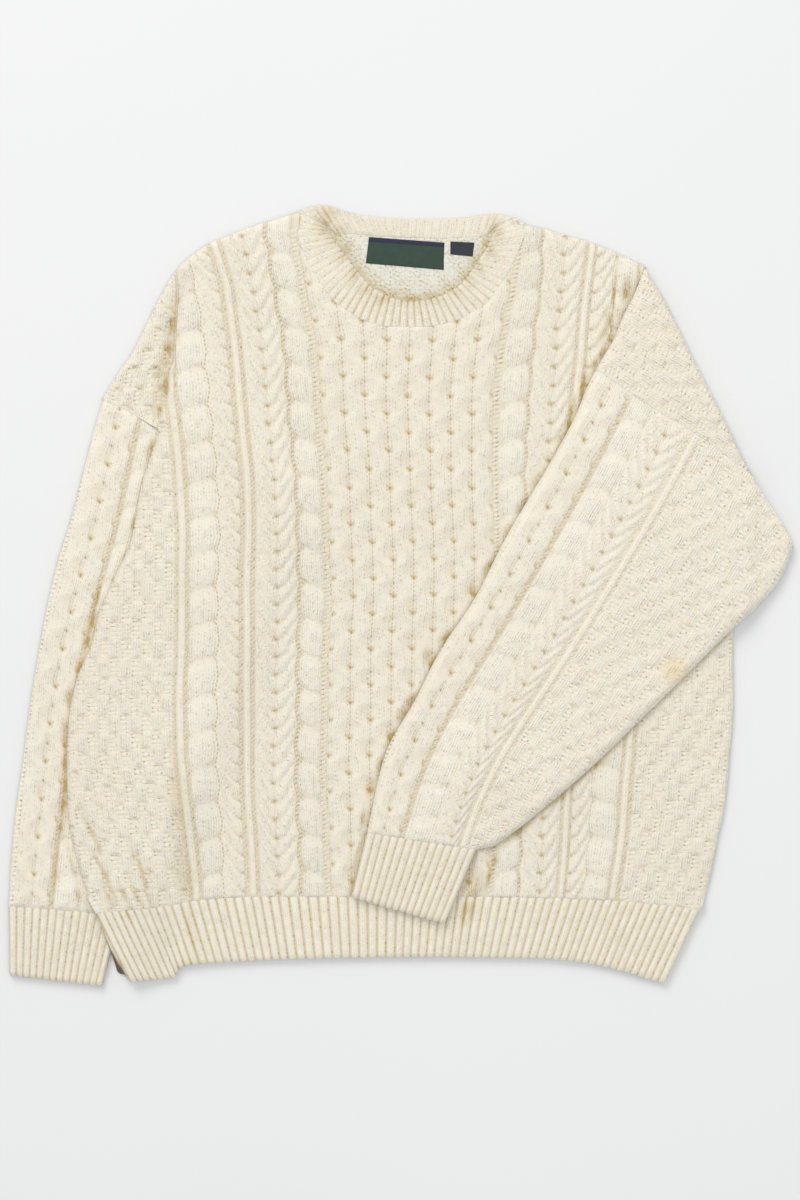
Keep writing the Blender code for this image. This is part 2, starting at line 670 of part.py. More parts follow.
def make_tube(name, material, edge_a, edge_b, seam, ends, rows, level, thick, relief, margin,
              creases=()):
    """A flattened tube, open at both ends. edge_a and edge_b are its side folds, seam the
    line of its first end, ends the shares across where its end rims have points, level the
    surface it lies on, and relief the dots (x, y, height) of its upper side, with creases
    the pairs of them that an edge joins."""
    def loop(sides, parts):
        def place(along, over):
            a = tube_point(edge_a, edge_b, seam, along, 0.0)
            b = tube_point(edge_a, edge_b, seam, along, 1.0)
            narrow = sides / math.dist(a, b)
            return tube_point(edge_a, edge_b, seam, along, narrow + over * (1 - 2 * narrow))

        first = [place(0.0, over) for over in ends]
        last = [place(1.0, over) for over in ends]
        down = [place(k / parts, 1.0) for k in range(1, parts)]
        up = [place(k / parts, 0.0) for k in range(1, parts)]
        return first + down + last[::-1] + up[::-1], len(first), len(down)

    outer, count, side = loop(0.0, rows)
    slit, _, slit_side = loop(SIDE_INSET, max(3, rows // 6))
    half = thick / 2
    ends_at = set(range(count)) | set(range(count + side, 2 * count + side))

    def outer_z(index, point, sign):
        full = index in ends_at and index not in (0, count - 1, count + side, 2 * count + side - 1)
        return level(*point) + half + sign * half * (1.0 if full else SIDE_ROUND)

    def ring_inside(sign):
        points = shrunk(outer, margin * 0.6)
        for index, (x, y) in enumerate(points):
            if index not in ends_at:
                yield (x, y, level(x, y) + half + sign * half)

    cloth = Cloth()
    keep = [i for i, (x, y, _) in enumerate(relief)
            if inside((x, y), outer) and distance((x, y), outer) > margin]
    joined = [(keep.index(a), keep.index(b)) for a, b in creases if a in keep and b in keep]
    top_dots = [(x, y, level(x, y) + thick + h) for x, y, h in (relief[i] for i in keep)]
    top_dots += list(ring_inside(1))
    low_dots = list(ring_inside(-1)) + [
        (x, y, level(x, y)) for x, y in level_breaks(level, outer)]
    top = cloth.skin([[(*p, outer_z(i, p, 1)) for i, p in enumerate(outer)]], top_dots,
                     joined)[0]
    low = cloth.skin([[(*p, outer_z(i, p, -1)) for i, p in enumerate(outer)]], low_dots)[0]
    breaks = level_breaks(level, slit)
    gap = SLEEVE_SLIT / 2
    roof = cloth.skin([[(*p, level(*p) + half + gap) for p in slit]],
                      [(x, y, level(x, y) + half + gap) for x, y in breaks])[0]
    floor = cloth.skin([[(*p, level(*p) + half - gap) for p in slit]],
                       [(x, y, level(x, y) + half - gap) for x, y in breaks])[0]
    for skins, edge in (((top, low), side), ((roof, floor), slit_side)):
        one, two = skins
        cloth.strip(one[count - 1:count + edge + 1], two[count - 1:count + edge + 1])
        cloth.strip(one[2 * count + edge - 1:] + one[:1], two[2 * count + edge - 1:] + two[:1])
    for whole, cut, sign in ((top, roof, 1), (low, floor, -1)):
        cloth.strip(whole[:count], cut[:count])
        start, cut_start = count + side, count + slit_side
        cloth.strip(whole[start:start + count], cut[cut_start:cut_start + count])
    for i, j in ((0, 0), (count - 1, count - 1), (count + side, count + slit_side),
                 (2 * count + side - 1, 2 * count + slit_side - 1)):
        cloth.faces.append([top[i], low[i], floor[j], roof[j]])
    return cloth.finish(name, material)


def on_front(x, y):
    """The surface that the folded sleeve lies on: the front, and past its side the back."""
    share = min(max((x - SAG_START) / (SAG_END - SAG_START), 0.0), 1.0)
    return between(UPPER_LEVEL, SAG_LEVEL, share)


def on_floor(x, y):
    return 0.0


def level_breaks(level, loop):
    """Dots where the surface under a tube changes its slope."""
    if level is on_floor:
        return []
    lines = [(x, y) for x in (SAG_START, SAG_END) for y in range(-20, 120, 12)]
    return [p for p in lines if inside(p, loop) and distance(p, loop) > 2.0]


def sleeve_dots(edge_a, edge_b, seam, rows, hidden):
    """The sleeve's cables: half of the top motif, a plait and a narrow rib, then moss."""
    dots = []
    for j in range(rows + 1):
        along = j / rows
        at = Across(*(between(p, q, along) for p, q in zip(SLEEVE_AT_ARMHOLE, SLEEVE_AT_CUFF)))
        (a,), (b,) = walk(edge_a, (along,)), walk(edge_b, (along,))
        wide = math.dist(a, b)
        places = [
            (at.motif / 2, "cell_middle"),
            (at.motif, "cell_edge_odd"),
            ((at.motif + at.gutter_1) / 2, "cell_middle"),
            (at.gutter_1, "ground"),
            ((at.gutter_1 + at.plait_a) / 2, "plait_side"),
            (at.plait_a, "plait_middle"),
            ((at.plait_a + at.plait_b) / 2, "plait_side"),
            (at.plait_b, "plait_middle"),
            ((at.plait_b + at.rib - RIB_HALF) / 2, "plait_side"),
            (at.rib - RIB_HALF, "ground"),
            (at.rib, "rib"),
            (at.gutter_2, "ground"),
        ]
        if j % PLAIN_ROWS == 0:
            places += [(between(at.gutter_2, wide, share), "moss") for share in (0.35, 0.75)]
        for place, name in places:
            stitch = STITCHES[name]
            nudge = stitch.lean / STEP / rows
            over = place / wide
            if over >= 1 or not 0 <= along + nudge <= 1:
                continue
            x, y = tube_point(edge_a, edge_b, seam, along + nudge, over)
            if not (hidden and inside((x, y), hidden)):
                dots.append((x, y, stitch[1 + j % 4]))
    return dots


def body_cover():
    """The region of the left sleeve that the body lies on, with a margin for its edge."""
    left = [(row.edge - 7, row.y) for row in LEFT_SIDE if row.y <= SEAM_Y]
    return [(-218, 170)] + left + [(0, -346), (0, 170)]


def end_shares(seam):
    """Where a seam's own corners lie along it, with a point by each side fold."""
    lengths = [math.dist(a, b) for a, b in zip(seam, seam[1:])]
    reached = [sum(lengths[:k]) / sum(lengths) for k in range(len(lengths))]
    return [0.0, SIDE_FOLD] + reached[1:] + [1 - SIDE_FOLD, 1.0]


def make_sleeve_left():
    thick = 2 * SLEEVE_WALL + SLEEVE_SLIT
    sides = (SLEEVE_LEFT_OUTER, SLEEVE_LEFT_HIDDEN, SLEEVE_LEFT_SEAM)
    relief = sleeve_dots(*sides, SLEEVE_ROWS, body_cover())
    under = [(row.edge - 2.5, row.y) for row in LEFT_SIDE if row.y <= SEAM_Y]
    relief += [(x, y, PRESSED_PILE / 2) for x, y in spaced([(-200, 144)] + under, 10)]
    return make_tube("sleeve_left", WOOL_SLEEVE, *sides, end_shares(sides[2]),
                     SLEEVE_ROWS // 2, on_floor, thick, relief, CLEAR_OF_EDGE)


def make_sleeve_right():
    thick = 2 * SLEEVE_WALL + SLEEVE_SLIT
    sides = (SLEEVE_RIGHT_UPPER, SLEEVE_RIGHT_UNDER, SLEEVE_RIGHT_SEAM)
    relief = sleeve_dots(*sides, SLEEVE_ROWS, None)
    return make_tube("sleeve_right", WOOL_SLEEVE, *sides, end_shares(sides[2]),
                     SLEEVE_ROWS // 2, on_front, thick, relief, CLEAR_OF_EDGE)


def make_cuff(name, edge_a, edge_b, level):
    """A ribbed cuff: the same flattened tube, with ribs from the sleeve to the rim."""
    ribs = 2 * CUFF_RIBS
    relief = [(*tube_point(edge_a, edge_b, None, along, k / ribs), k % 2 * RIB_PROUD)
              for k in range(1, ribs) for along in BAND_SHARES]
    creases = [(k, k + 1) for k in range(0, len(relief), len(BAND_SHARES))]
    thick = 2 * RIB_WALL + SLEEVE_SLIT
    return make_tube(name, WOOL_RIB, edge_a, edge_b, None, steps(ribs), 4, level, thick,
                     relief, BAND_MARGIN, creases)


def make_label(name, corners, material):
    cloth = Cloth()
    loop = spaced(list(corners) + [corners[0]], 30)[:-1]
    top = FRONT_LEVEL + LABEL_WALL
    wall(cloth, [loop], lambda x, y: top, lambda x, y: FRONT_LEVEL, [], [])
    return cloth.finish(name, material)


for old in list(bpy.data.objects):
    bpy.data.objects.remove(old, do_unlink=True)
garment = bpy.data.collections.new("cable_knit_sweater")
bpy.context.scene.collection.children.link(garment)

WOOL_BODY = yarn("wool_body", (0.82, 0.75, 0.60), 0.95)
WOOL_SLEEVE = yarn("wool_sleeve", (0.83, 0.76, 0.62), 0.95)
WOOL_RIB = yarn("wool_rib", (0.82, 0.74, 0.58), 0.95)
LABEL_GREEN = yarn("label_green", (0.02, 0.09, 0.06), 0.6)
LABEL_BLACK = yarn("label_black", (0.02, 0.02, 0.03), 0.6)

make_back()
make_front()
make_hem("hem_back", 0.0, HEM_RIBS // 4, 0.0)
make_hem("hem_front", FRONT_LEVEL, HEM_RIBS, RIB_PROUD, folded_over())
make_neckband()
make_sleeve_left()
make_sleeve_right()
make_cuff("cuff_left", CUFF_LEFT_OUTER, CUFF_LEFT_HIDDEN, on_floor)
make_cuff("cuff_right", CUFF_RIGHT_UPPER, CUFF_RIGHT_UNDER, on_front)
make_label("label_main", LABEL_MAIN, LABEL_GREEN)
make_label("label_care", LABEL_CARE, LABEL_BLACK)
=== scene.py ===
import math
from collections import namedtuple

import bpy
import numpy as np
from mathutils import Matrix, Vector
from mathutils.geometry import delaunay_2d_cdt


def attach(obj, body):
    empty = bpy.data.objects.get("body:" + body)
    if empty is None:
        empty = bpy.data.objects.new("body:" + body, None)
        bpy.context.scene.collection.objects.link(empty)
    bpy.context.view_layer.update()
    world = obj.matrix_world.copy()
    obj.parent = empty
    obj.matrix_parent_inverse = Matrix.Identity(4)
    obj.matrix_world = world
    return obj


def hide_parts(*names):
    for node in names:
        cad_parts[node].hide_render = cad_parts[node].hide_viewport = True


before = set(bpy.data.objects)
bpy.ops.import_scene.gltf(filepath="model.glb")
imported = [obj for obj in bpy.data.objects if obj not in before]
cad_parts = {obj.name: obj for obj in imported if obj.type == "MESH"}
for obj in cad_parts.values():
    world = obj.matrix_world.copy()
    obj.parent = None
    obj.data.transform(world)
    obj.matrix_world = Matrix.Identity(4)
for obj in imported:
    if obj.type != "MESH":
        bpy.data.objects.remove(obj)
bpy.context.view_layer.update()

# ---- Back panel ----------------------------------------------------------------------
# The lower half of the body: one knitted wool panel, plain side up inside the neck. Its right
# shoulder is folded forward round a thick roll and lies on the front. Sizes are millimetres.
MM = 0.001
BACK_WALL = 3.5
FRONT_LEVEL = 3.9
FRONT_TOP = 6.7  # purl ground of the front
UPPER_LEVEL = 8.1  # what lies on the front
UPPER_TOP = 14.9
STITCH, ROW = 4.6, 3.975  # one stitch and one row of knitting
CABLE = 2.4  # height of cables over their ground
FAR = 9.0  # from a line between lanes, where it doesn't show

# The body's left side lies on the left sleeve. At these heights: its edge, how far in it has
# its full lift, where it is down on the floor again, and that lift.
SIDE_Y = (-346, -316, -288, -269, -242, -214, -186, -113, -76, -45, -17, 19, 47, 102, 149,
          180, 211, 239, 266, 285)
SIDE_EDGE = (-244, -261, -274, -283, -291, -298, -301, -300, -293, -280, -273, -258, -245,
             -234, -218, -212, -212, -207, -196, -190)
SIDE_FULL = (-243, -253, -248, -239, -227, -215, -204, -174, -160, -148, -139, -126, -117,
             -119, -178, -189, -196, -198, -189, -187)
SIDE_FLOOR = (-214, -207, -194, -185, -173, -161, -150, -119, -106, -92, -83, -70, -61, -61,
              -92, -115, -133, -146, -160, -170)
SIDE_LIFT = (4, 8.4, 8.4, 8.4, 8.4, 8.4, 8.4, 8.4, 8.4, 8.4, 8.4, 8.4, 8.4, 8.4, 8.4, 7.8, 6.5,
             5, 3, 0)
SEAM_Y = 149

ARMHOLE_LEFT = ((-270, 176), (-243, 163), (-222, 151))
SHOULDER_LEFT = ((-270, 176), (-256, 199), (-243, 218), (-231, 242), (-219, 266), (-209, 284),
                 (-196, 300), (-176, 315), (-155, 324), (-128, 334), (-94, 344))
SHOULDER_RIGHT = ((110, 333), (126, 330), (142, 325), (160, 320), (178, 314), (199, 305),
                  (218, 296))
FOLD_RIGHT = ((218, 296), (223, 285), (230, 275), (244, 248), (259, 217), (280, 176),
              (298, 140), (315, 104))
UNDERARM = ((351, 43), (321, -6), (300, -20))
SIDE_RIGHT = ((300, -20), (297, -40), (297, -72), (297, -106), (294, -140), (290, -184),
              (282, -225), (277, -249), (271, -273))
HEM_TOP = ((-274, -284), (-218, -279), (-173, -272), (-128, -270), (-47, -270), (70, -270),
           (182, -273), (246, -279), (266, -282))
HEM_BOTTOM = ((-244, -346), (-205, -343), (-198, -333), (-144, -328), (-99, -326), (16, -324),
              (104, -325), (134, -326), (178, -332), (235, -348))
HEM_SEAM = tuple((x, y - 1) for x, y in HEM_TOP)  # the panels run on a little below
ARMHOLE_RIGHT = ((315, 104), (298, 119), (263, 144), (226, 166), (173, 202))
FLAP_EDGE = ((173, 202), (180, 214), (189, 229), (196, 246), (201, 257), (207, 268), (213, 283),
             (218, 296))
NECK_OUTER = ((-94, 344), (-90, 347), (-72, 351), (-57, 347), (-38, 342), (-14, 339),
              (15, 338), (51, 339), (74, 342), (90, 342), (110, 333), (104, 309), (92, 285),
              (78, 265), (63, 254), (43, 245), (18, 241), (-6, 241), (-27, 244), (-43, 251),
              (-59, 262), (-70, 275), (-86, 301), (-94, 324))
NECK_INNER = ((-69, 333), (-58, 324), (-29, 322), (5, 320), (37, 319), (72, 321), (83, 331),
              (77, 314), (70, 303), (62, 291), (54, 281), (42, 272), (25, 266), (6, 264),
              (-12, 268), (-29, 278), (-41, 291), (-52, 306), (-62, 320))


def rise(share):
    share = np.clip(share, 0.0, 1.0)
    return share * share * (3 - 2 * share)


def dome(share):
    """A round profile: 1 at 0, and 0 from 1 outwards."""
    return np.sqrt(np.clip(1 - share * share, 0.0, 1.0))


def fade(apart, width):
    """1 at 0, and less and less away from it."""
    return np.exp(-((apart / width) ** 2))


def spot(across, along, wide, tall):
    """1 at a place, and less and less away from it."""
    return np.exp(-((across / wide) ** 2) - (along / tall) ** 2)


def level_at(z):
    return lambda x, y: z + 0 * x


def looped(loop):
    """A closed line, with its first point again at its end."""
    return np.vstack([loop, loop[:1]])


def distances(line):
    """How far along a line each of its points is."""
    return np.concatenate([[0], np.cumsum(np.hypot(*np.diff(line, axis=0).T))])


def curve(points, spacing=3.0, closed=False):
    """A smooth line through the points."""
    p = np.array(points, float)
    if closed:
        p = np.vstack([p[-1:], p, p[:2]])
    else:
        p = np.vstack([2 * p[0] - p[1], p, 2 * p[-1] - p[-2]])
    long = np.maximum(np.hypot(*np.diff(p, axis=0).T), 1e-6)
    lean = (p[2:] - p[:-2]) / (long[1:] + long[:-1])[:, None]
    line = []
    for k in range(len(lean) - 1):
        a, b, reach = p[k + 1], p[k + 2], long[k + 1]
        parts = max(1, round(reach / spacing))
        t = (np.arange(parts) / parts)[:, None]
        line.append((2 * t**3 - 3 * t**2 + 1) * a + (3 * t**2 - 2 * t**3) * b
                    + reach * ((t**3 - 2 * t**2 + t) * lean[k] + (t**3 - t**2) * lean[k + 1]))
    if not closed:
        line.append(p[-2:-1])
    return np.vstack(line)


def joined(*lines):
    return np.vstack([line[:-1] for line in lines])


def away(x, y, line):
    """How far each place is from a line of points."""
    best = np.full(np.shape(x), 1e9)
    for (ax, ay), (bx, by) in zip(line[:-1], line[1:]):
        dx, dy = bx - ax, by - ay
        along = np.clip(((x - ax) * dx + (y - ay) * dy) / (dx * dx + dy * dy + 1e-9), 0, 1)
        np.minimum(best, (x - ax - along * dx) ** 2 + (y - ay - along * dy) ** 2, out=best)
    return np.sqrt(best)


def within(x, y, loop):
    odd = np.zeros(np.shape(x), bool)
    for (ax, ay), (bx, by) in zip(loop, np.roll(loop, -1, 0)):
        if ay != by:
            odd ^= ((ay > y) != (by > y)) & (x < ax + (y - ay) * (bx - ax) / (by - ay))
    return odd


def nearest(points, loop):
    """The nearest places on a closed loop."""
    a, b = loop, np.roll(loop, -1, 0)
    run = b - a
    size = (run * run).sum(1) + 1e-9
    found = np.empty_like(points)
    for k, point in enumerate(points):
        along = np.clip(((point - a) * run).sum(1) / size, 0, 1)[:, None]
        feet = a + along * run
        found[k] = feet[np.argmin(((feet - point) ** 2).sum(1))]
    return found


def side(table, y):
    return np.interp(y, SIDE_Y, table)


def lift(x, y):
    """How high the body lies above the floor, over the left sleeve."""
    full, floor = side(SIDE_FULL, y), side(SIDE_FLOOR, y)
    slope = 1 - rise((x - full) / np.maximum(floor - full, 1))
    beside = rise((x - side(SIDE_EDGE, y) + 8) / 14)
    return side(SIDE_LIFT, y) * slope * (1 + (beside - 1) * rise((y - SEAM_Y + 4) / 20))


def lifted(z):
    """A height above the floor that follows the body's lift."""
    return lambda x, y: z + lift(x, y)


def crease(x, y, points, width, depth):
    """A soft trough along a line; a negative depth makes a ridge."""
    line = curve(points, 12)
    apart = away(x, y, line)
    ends = np.minimum(np.hypot(x - line[0, 0], y - line[0, 1]),
                      np.hypot(x - line[-1, 0], y - line[-1, 1]))
    return -depth * fade(apart, width) * rise(0.25 + ends / (3 * width))


def creases(x, y, lines):
    return sum(crease(x, y, *line) for line in lines)


def shade(x, y, spots):
    """Tan shade in the hollows beside edges. spots are (x, y, half width, half length,
    degrees that the length leans right from upright, strength)."""
    total = np.zeros(np.shape(x))
    for at_x, at_y, wide, tall, lean, strength in spots:
        turn = math.radians(lean)
        across = (x - at_x) * math.cos(turn) - (y - at_y) * math.sin(turn)
        along = (x - at_x) * math.sin(turn) + (y - at_y) * math.cos(turn)
        total = np.maximum(total, strength * spot(across, along, wide, tall))
    grain = np.sin(x * 1.5 + 2 * np.sin(y * 0.9)) * np.sin(y * 1.3 + 2 * np.sin(x * 0.8))
    return total * (0.8 + 0.45 * grain)


def plain_knit(x, y, depth, stitch=STITCH):
    """Knit coordinates that follow x and y: stitch, row, and how deep the knit side shows."""
    return np.stack([x / stitch, -y / ROW, 0 * x + depth], -1)


def marks(crevice_shade):
    """Marks of painted shade in crevices alone, away from the dotted lines."""
    return np.stack([crevice_shade, FAR + 0 * crevice_shade, 0 * crevice_shade], -1)


def quads_of(block):
    """Four corners for each cell of a grid of point numbers."""
    return np.stack([block[:-1, :-1], block[1:, :-1], block[1:, 1:], block[:-1, 1:]], -1)


def border(block):
    """The point numbers round a grid's edge."""
    return np.concatenate([block[0, :-1], block[:-1, -1], block[-1, :0:-1], block[:0:-1, 0]])


def band(one, two):
    """Faces between two rings with the same number of points."""
    return np.stack([one, np.roll(one, -1), np.roll(two, -1), two], 1)


def clockwise(a, b, c):
    (ux, uy), (vx, vy) = b - a, c - a
    return ux * vy - uy * vx < 0


def placed(name, data):
    piece = bpy.data.objects.new(name, data)
    bpy.context.collection.objects.link(piece)
    return piece


class Shell:
    """Gathers the points and faces of one cloth piece."""

    def __init__(self):
        self.at, self.knit, self.mark, self.faces, self.rims, self.count = [], [], [], [], [], 0

    def add(self, at, knit=None, mark=None):
        """Adds points, which are plain purl without marks where nothing else is said."""
        at = np.asarray(at, float)
        if knit is None:
            knit = plain_knit(at[:, 0], at[:, 1], 0)
            mark = marks(np.zeros(len(at)))
        for rows, more in ((self.at, at), (self.knit, knit), (self.mark, mark)):
            rows.append(more)
        self.count += len(at)
        return np.arange(self.count - len(at), self.count)

    def face(self, faces, turn=False):
        """Adds faces, turned over if asked."""
        self.faces += [[int(i) for i in (face[::-1] if turn else face)] for face in faces]

    def fill(self, ids, ring, inner, height, up):
        """Triangles inside a ring of points that are there already, with loose places inside
        it that lie at height."""
        edges = np.arange(len(ring))
        verts, _, faces, old, _, _ = delaunay_2d_cdt(
            [tuple(p) for p in np.vstack([ring, inner])],
            np.stack([edges, np.roll(edges, -1)], 1).tolist(), [], 0, 1e-4)
        place = np.array([tuple(v) for v in verts])
        faces = np.array([f for f in faces if len(f) == 3])
        faces = faces[within(*place[faces].mean(1).T, ring)]
        lookup = np.array([next((ids[k] for k in origins if k < len(ids)), -1) for origins in old])
        fresh = np.where(lookup < 0)[0]
        if len(fresh):
            x, y = place[fresh].T
            lookup[fresh] = self.add(np.stack([x, y, height(x, y)], 1))
        self.face(lookup[faces], not up)

    def make(self, name, material, node):
        """The finished piece, in the node's place."""
        at = np.vstack(self.at) * MM
        mesh = bpy.data.meshes.new(name)
        mesh.from_pydata(at.tolist(), [], self.faces)
        mesh.polygons.foreach_set("use_smooth", [True] * len(mesh.polygons))
        for label, rows in (("knit", self.knit), ("mark", self.mark)):
            layer = mesh.attributes.new(label, "FLOAT_VECTOR", "POINT")
            layer.data.foreach_set("vector", np.vstack(rows).astype(np.float32).ravel())
        mesh.update()
        ends = np.empty(len(mesh.edges) * 2, int)
        mesh.edges.foreach_get("vertices", ends)
        ends = np.sort(ends.reshape(-1, 2), 1)
        rims = np.concatenate([np.stack([r, np.roll(r, -1)], 1) for r in self.rims] or [ends[:0]])
        rims = np.sort(rims, 1)
        sharp = np.isin(ends[:, 0] * self.count + ends[:, 1], rims[:, 0] * self.count + rims[:, 1])
        layer = mesh.attributes.new("sharp_edge", "BOOLEAN", "EDGE")
        layer.data.foreach_set("value", sharp)
        piece = placed(name, mesh)
        mesh.materials.append(material)
        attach(piece, "root")
        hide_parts(node)
        return piece


def rings_of(quads):
    """The closed loops of edges that one quad alone uses."""
    a = quads.ravel()
    b = np.roll(quads, -1, 1).ravel()
    size = a.max() + 1
    alone = ~np.isin(a * size + b, b * size + a)
    after = dict(zip(a[alone].tolist(), b[alone].tolist()))
    loops = []
    while after:
        start, here = next(iter(after.items()))
        ring = [start]
        del after[start]
        while here != start and here in after:
            ring.append(here)
            here = after.pop(here)
        loops.append(np.array(ring))
    return sorted(loops, key=len, reverse=True)


def scattered(loop, spacing, clear):
    """Places on a coarse grid, inside a loop and clear of it."""
    low, high = loop.min(0), loop.max(0)
    x, y = np.meshgrid(np.arange(low[0], high[0], spacing), np.arange(low[1], high[1], spacing))
    keep = within(x, y, loop) & (away(x, y, looped(loop)) > clear)
    return np.stack([x[keep], y[keep]], 1)


def inset(xy, amount, skip=2):
    """Every few points of a loop, moved inwards."""
    run = np.roll(xy, -3, 0) - np.roll(xy, 3, 0)
    area = (xy[:, 0] * np.roll(xy[:, 1], -1) - xy[:, 1] * np.roll(xy[:, 0], -1)).sum()
    turn = np.stack([-run[:, 1], run[:, 0]], 1) * (1 if area > 0 else -1)
    moved = (xy + turn / np.maximum(np.hypot(*turn.T), 1e-6)[:, None] * amount)[::skip]
    return moved[within(*moved.T, xy) & (away(*moved.T, looped(xy)) > 0.8 * amount)]


ROUNDED = ((0.8, 0.6), (3.2, 1.0))  # an underside whose rim is rounded
COARSE = 14  # between points on faces that no one sees


def panel(shell, grid, loop, edges, top, under, relief, knit, mark, under_rings=((0.7, 1.0),),
          hidden=None, plain=None):
    """A knitted layer cut from a grid of points along its columns and rows.

    edges are (line, radius, height): near each line the layer rounds down to that height.
    under_rings are (inset, share): rings of points on the underside, which lie at that share
    of the way from the rim's height to the underside's. hidden is a test for places that
    another layer covers. They are left out, and where they stay clear of the loop they get a
    few large faces at the height plain."""
    x, y = grid
    middles = [(c[1:, 1:] + c[:-1, :-1] + c[1:, :-1] + c[:-1, 1:]) / 4 for c in grid]
    keep = within(*middles, loop)
    if hidden is not None:
        keep &= ~hidden(*middles)
    for _ in range(6):  # where two cells touch at a corner only, the one between them stays
        a, b, c, d = keep[:-1, :-1], keep[:-1, 1:], keep[1:, :-1], keep[1:, 1:]
        cross, other = a & d & ~b & ~c, b & c & ~a & ~d
        if not (cross.any() or other.any()):
            break
        keep[:-1, 1:] |= cross
        keep[:-1, :-1] |= other
    used, quads = np.unique(quads_of(np.arange(x.size).reshape(x.shape))[keep],
                            return_inverse=True)
    quads = quads.reshape(-1, 4)
    xy = np.stack([x.ravel()[used], y.ravel()[used]], 1)
    if clockwise(*xy[quads[0, :3]]):
        quads = quads[:, ::-1]
    outer, *holes = rings_of(quads)
    xy[outer] = nearest(xy[outer], loop)
    px, py = xy.T
    stand = relief.ravel()[used]
    for line, radius, _ in edges:
        stand = stand * rise(away(px, py, line) / (min(1.6 * radius, 7) + 0.8) - 0.05)
    z = top(px, py) + stand
    for line, radius, height in edges:
        low = height(px, py)
        z = low + (z - low) * dome(1 - np.minimum(away(px, py, line) / radius, 1.0))
    ids = shell.add(np.stack([px, py, z], 1), knit.reshape(-1, 3)[used],
                    mark.reshape(-1, 3)[used])
    shell.face(ids[quads])
    for ring in holes:
        # a small hole needs no loose points
        loose = scattered(xy[ring], COARSE, 4) if len(ring) > 40 else np.empty((0, 2))
        shell.fill(ids[ring], xy[ring], loose, plain or top, True)
    shell.rims.append(ids[outer])
    rim, rim_z = xy[outer], z[outer]
    rings = [inset(rim, amount) for amount, _ in under_rings]

    def below(bx, by):
        low = under(bx, by)
        out = np.array(low, float)
        for places, (_, share) in zip(rings, under_rings):
            for at_x, at_y in places if share < 1 else ():
                hit = (np.abs(bx - at_x) < 1e-3) & (np.abs(by - at_y) < 1e-3)
                k = np.argmin((rim[:, 0] - at_x) ** 2 + (rim[:, 1] - at_y) ** 2)
                out[hit] = rim_z[k] + (low[hit] - rim_z[k]) * share
        return out

    shell.fill(ids[outer], rim, np.vstack([scattered(rim, COARSE, 6), *rings]), below, False)


# A lane of stitches runs down the cloth. stitch is its function, first the row of its first
# crossing, lean its direction or strength, line the strength of the dotted line of painted shade
# at its start, sway how far that line swings with the cables, and beat the row at which it does.
Lane = namedtuple("Lane", "start end stitch first lean line sway beat",
                  defaults=(0.0, 0.0, 0.0))


def lane_columns(lanes):
    """Grid columns across the lanes: their places, and the lane of each."""
    places, owners = [], []
    for k, lane in enumerate(lanes):
        pitch = 1.9 if lane.stitch is moss else 1.4
        parts = max(2, math.ceil((lane.end - lane.start) / pitch))
        places.append(lane.start + (lane.end - lane.start) * np.arange(parts) / parts)
        owners.append(np.full(parts, k))
    places.append(np.array([lanes[-1].end]))
    owners.append(np.array([len(lanes) - 1]))
    return np.concatenate(places), np.concatenate(owners)


def swayed(lanes, places, t):
    """The columns' places on row t, where the lines between lanes swing with the cables."""
    starts = np.array([lane.start for lane in lanes] + [lanes[-1].end])
    saw = np.array([lane.sway * saw_tooth(t - lane.beat) for lane in lanes] + [0.0])
    return places + np.interp(places, starts, saw)


REPEAT, TWIST = 8, 4  # rows from one crossing to the next, in a rope and in a narrow twist


def saw_tooth(t):
    """From -1 at a crossing back to 1 before the next one."""
    return np.interp(t % REPEAT, (0, 1.2, 4.5, REPEAT), (-1, 0.1, 1, -1))


def wrapped(value, period):
    """The value less its nearest multiple of the period."""
    return (value + period / 2) % period - period / 2


def strand(r):
    """The height of a strand from where it comes out from under the last one to its other edge."""
    return (0.35 + 0.65 * rise(r / 0.5)) * (1 - 0.45 * rise((r - 0.72) / 0.28))


def across_cable(v):
    """A cable's round cross-section: its sides end above the ground."""
    return 0.5 + 0.5 * np.cos(v * math.pi / 2)


def rope(a, half, t, first, lean):
    """Six stitches twisted into a rope: every eight rows one half crosses over the other."""
    v = a / half
    w = v * lean
    q = (t - first + 0.65 * w + 0.45 * rise((w - 0.5) * 2)) % REPEAT
    height = CABLE * across_cable(v) * (0.3 + 0.7 * strand(q / REPEAT))
    at_end = fade(wrapped(q, REPEAT), 0.4)
    crack = at_end * (0.1 + 0.8 * rise(w * 1.3) + 0.2 * rise(-w * 2 - 0.8))
    strong = spot(a - half * 0.93 * lean, wrapped(t - first, REPEAT) * ROW, 1.4, 2.0)
    weak = spot(a + half * 0.93 * lean, wrapped(t - first - 1.2, REPEAT) * ROW, 1.2, 1.8)
    # painted shade in the crossing's crack and the dots beside it, and painted light on the rope's
    # crown
    crevice_shade = 0.26 * crack + 0.5 * strong + 0.25 * weak - 0.05 * across_cable(v)
    smooth = rise((3.2 - q) / 1.4)
    return height - 0.9 * strong - 0.5 * crack, crevice_shade, v * 2.5, t, 0.85 - 0.4 * smooth


def strand_curve(w):
    """How far round the twist a strand lies at a share w across it."""
    return 0.9 * w - 0.46 * np.maximum(w, 0) ** 2


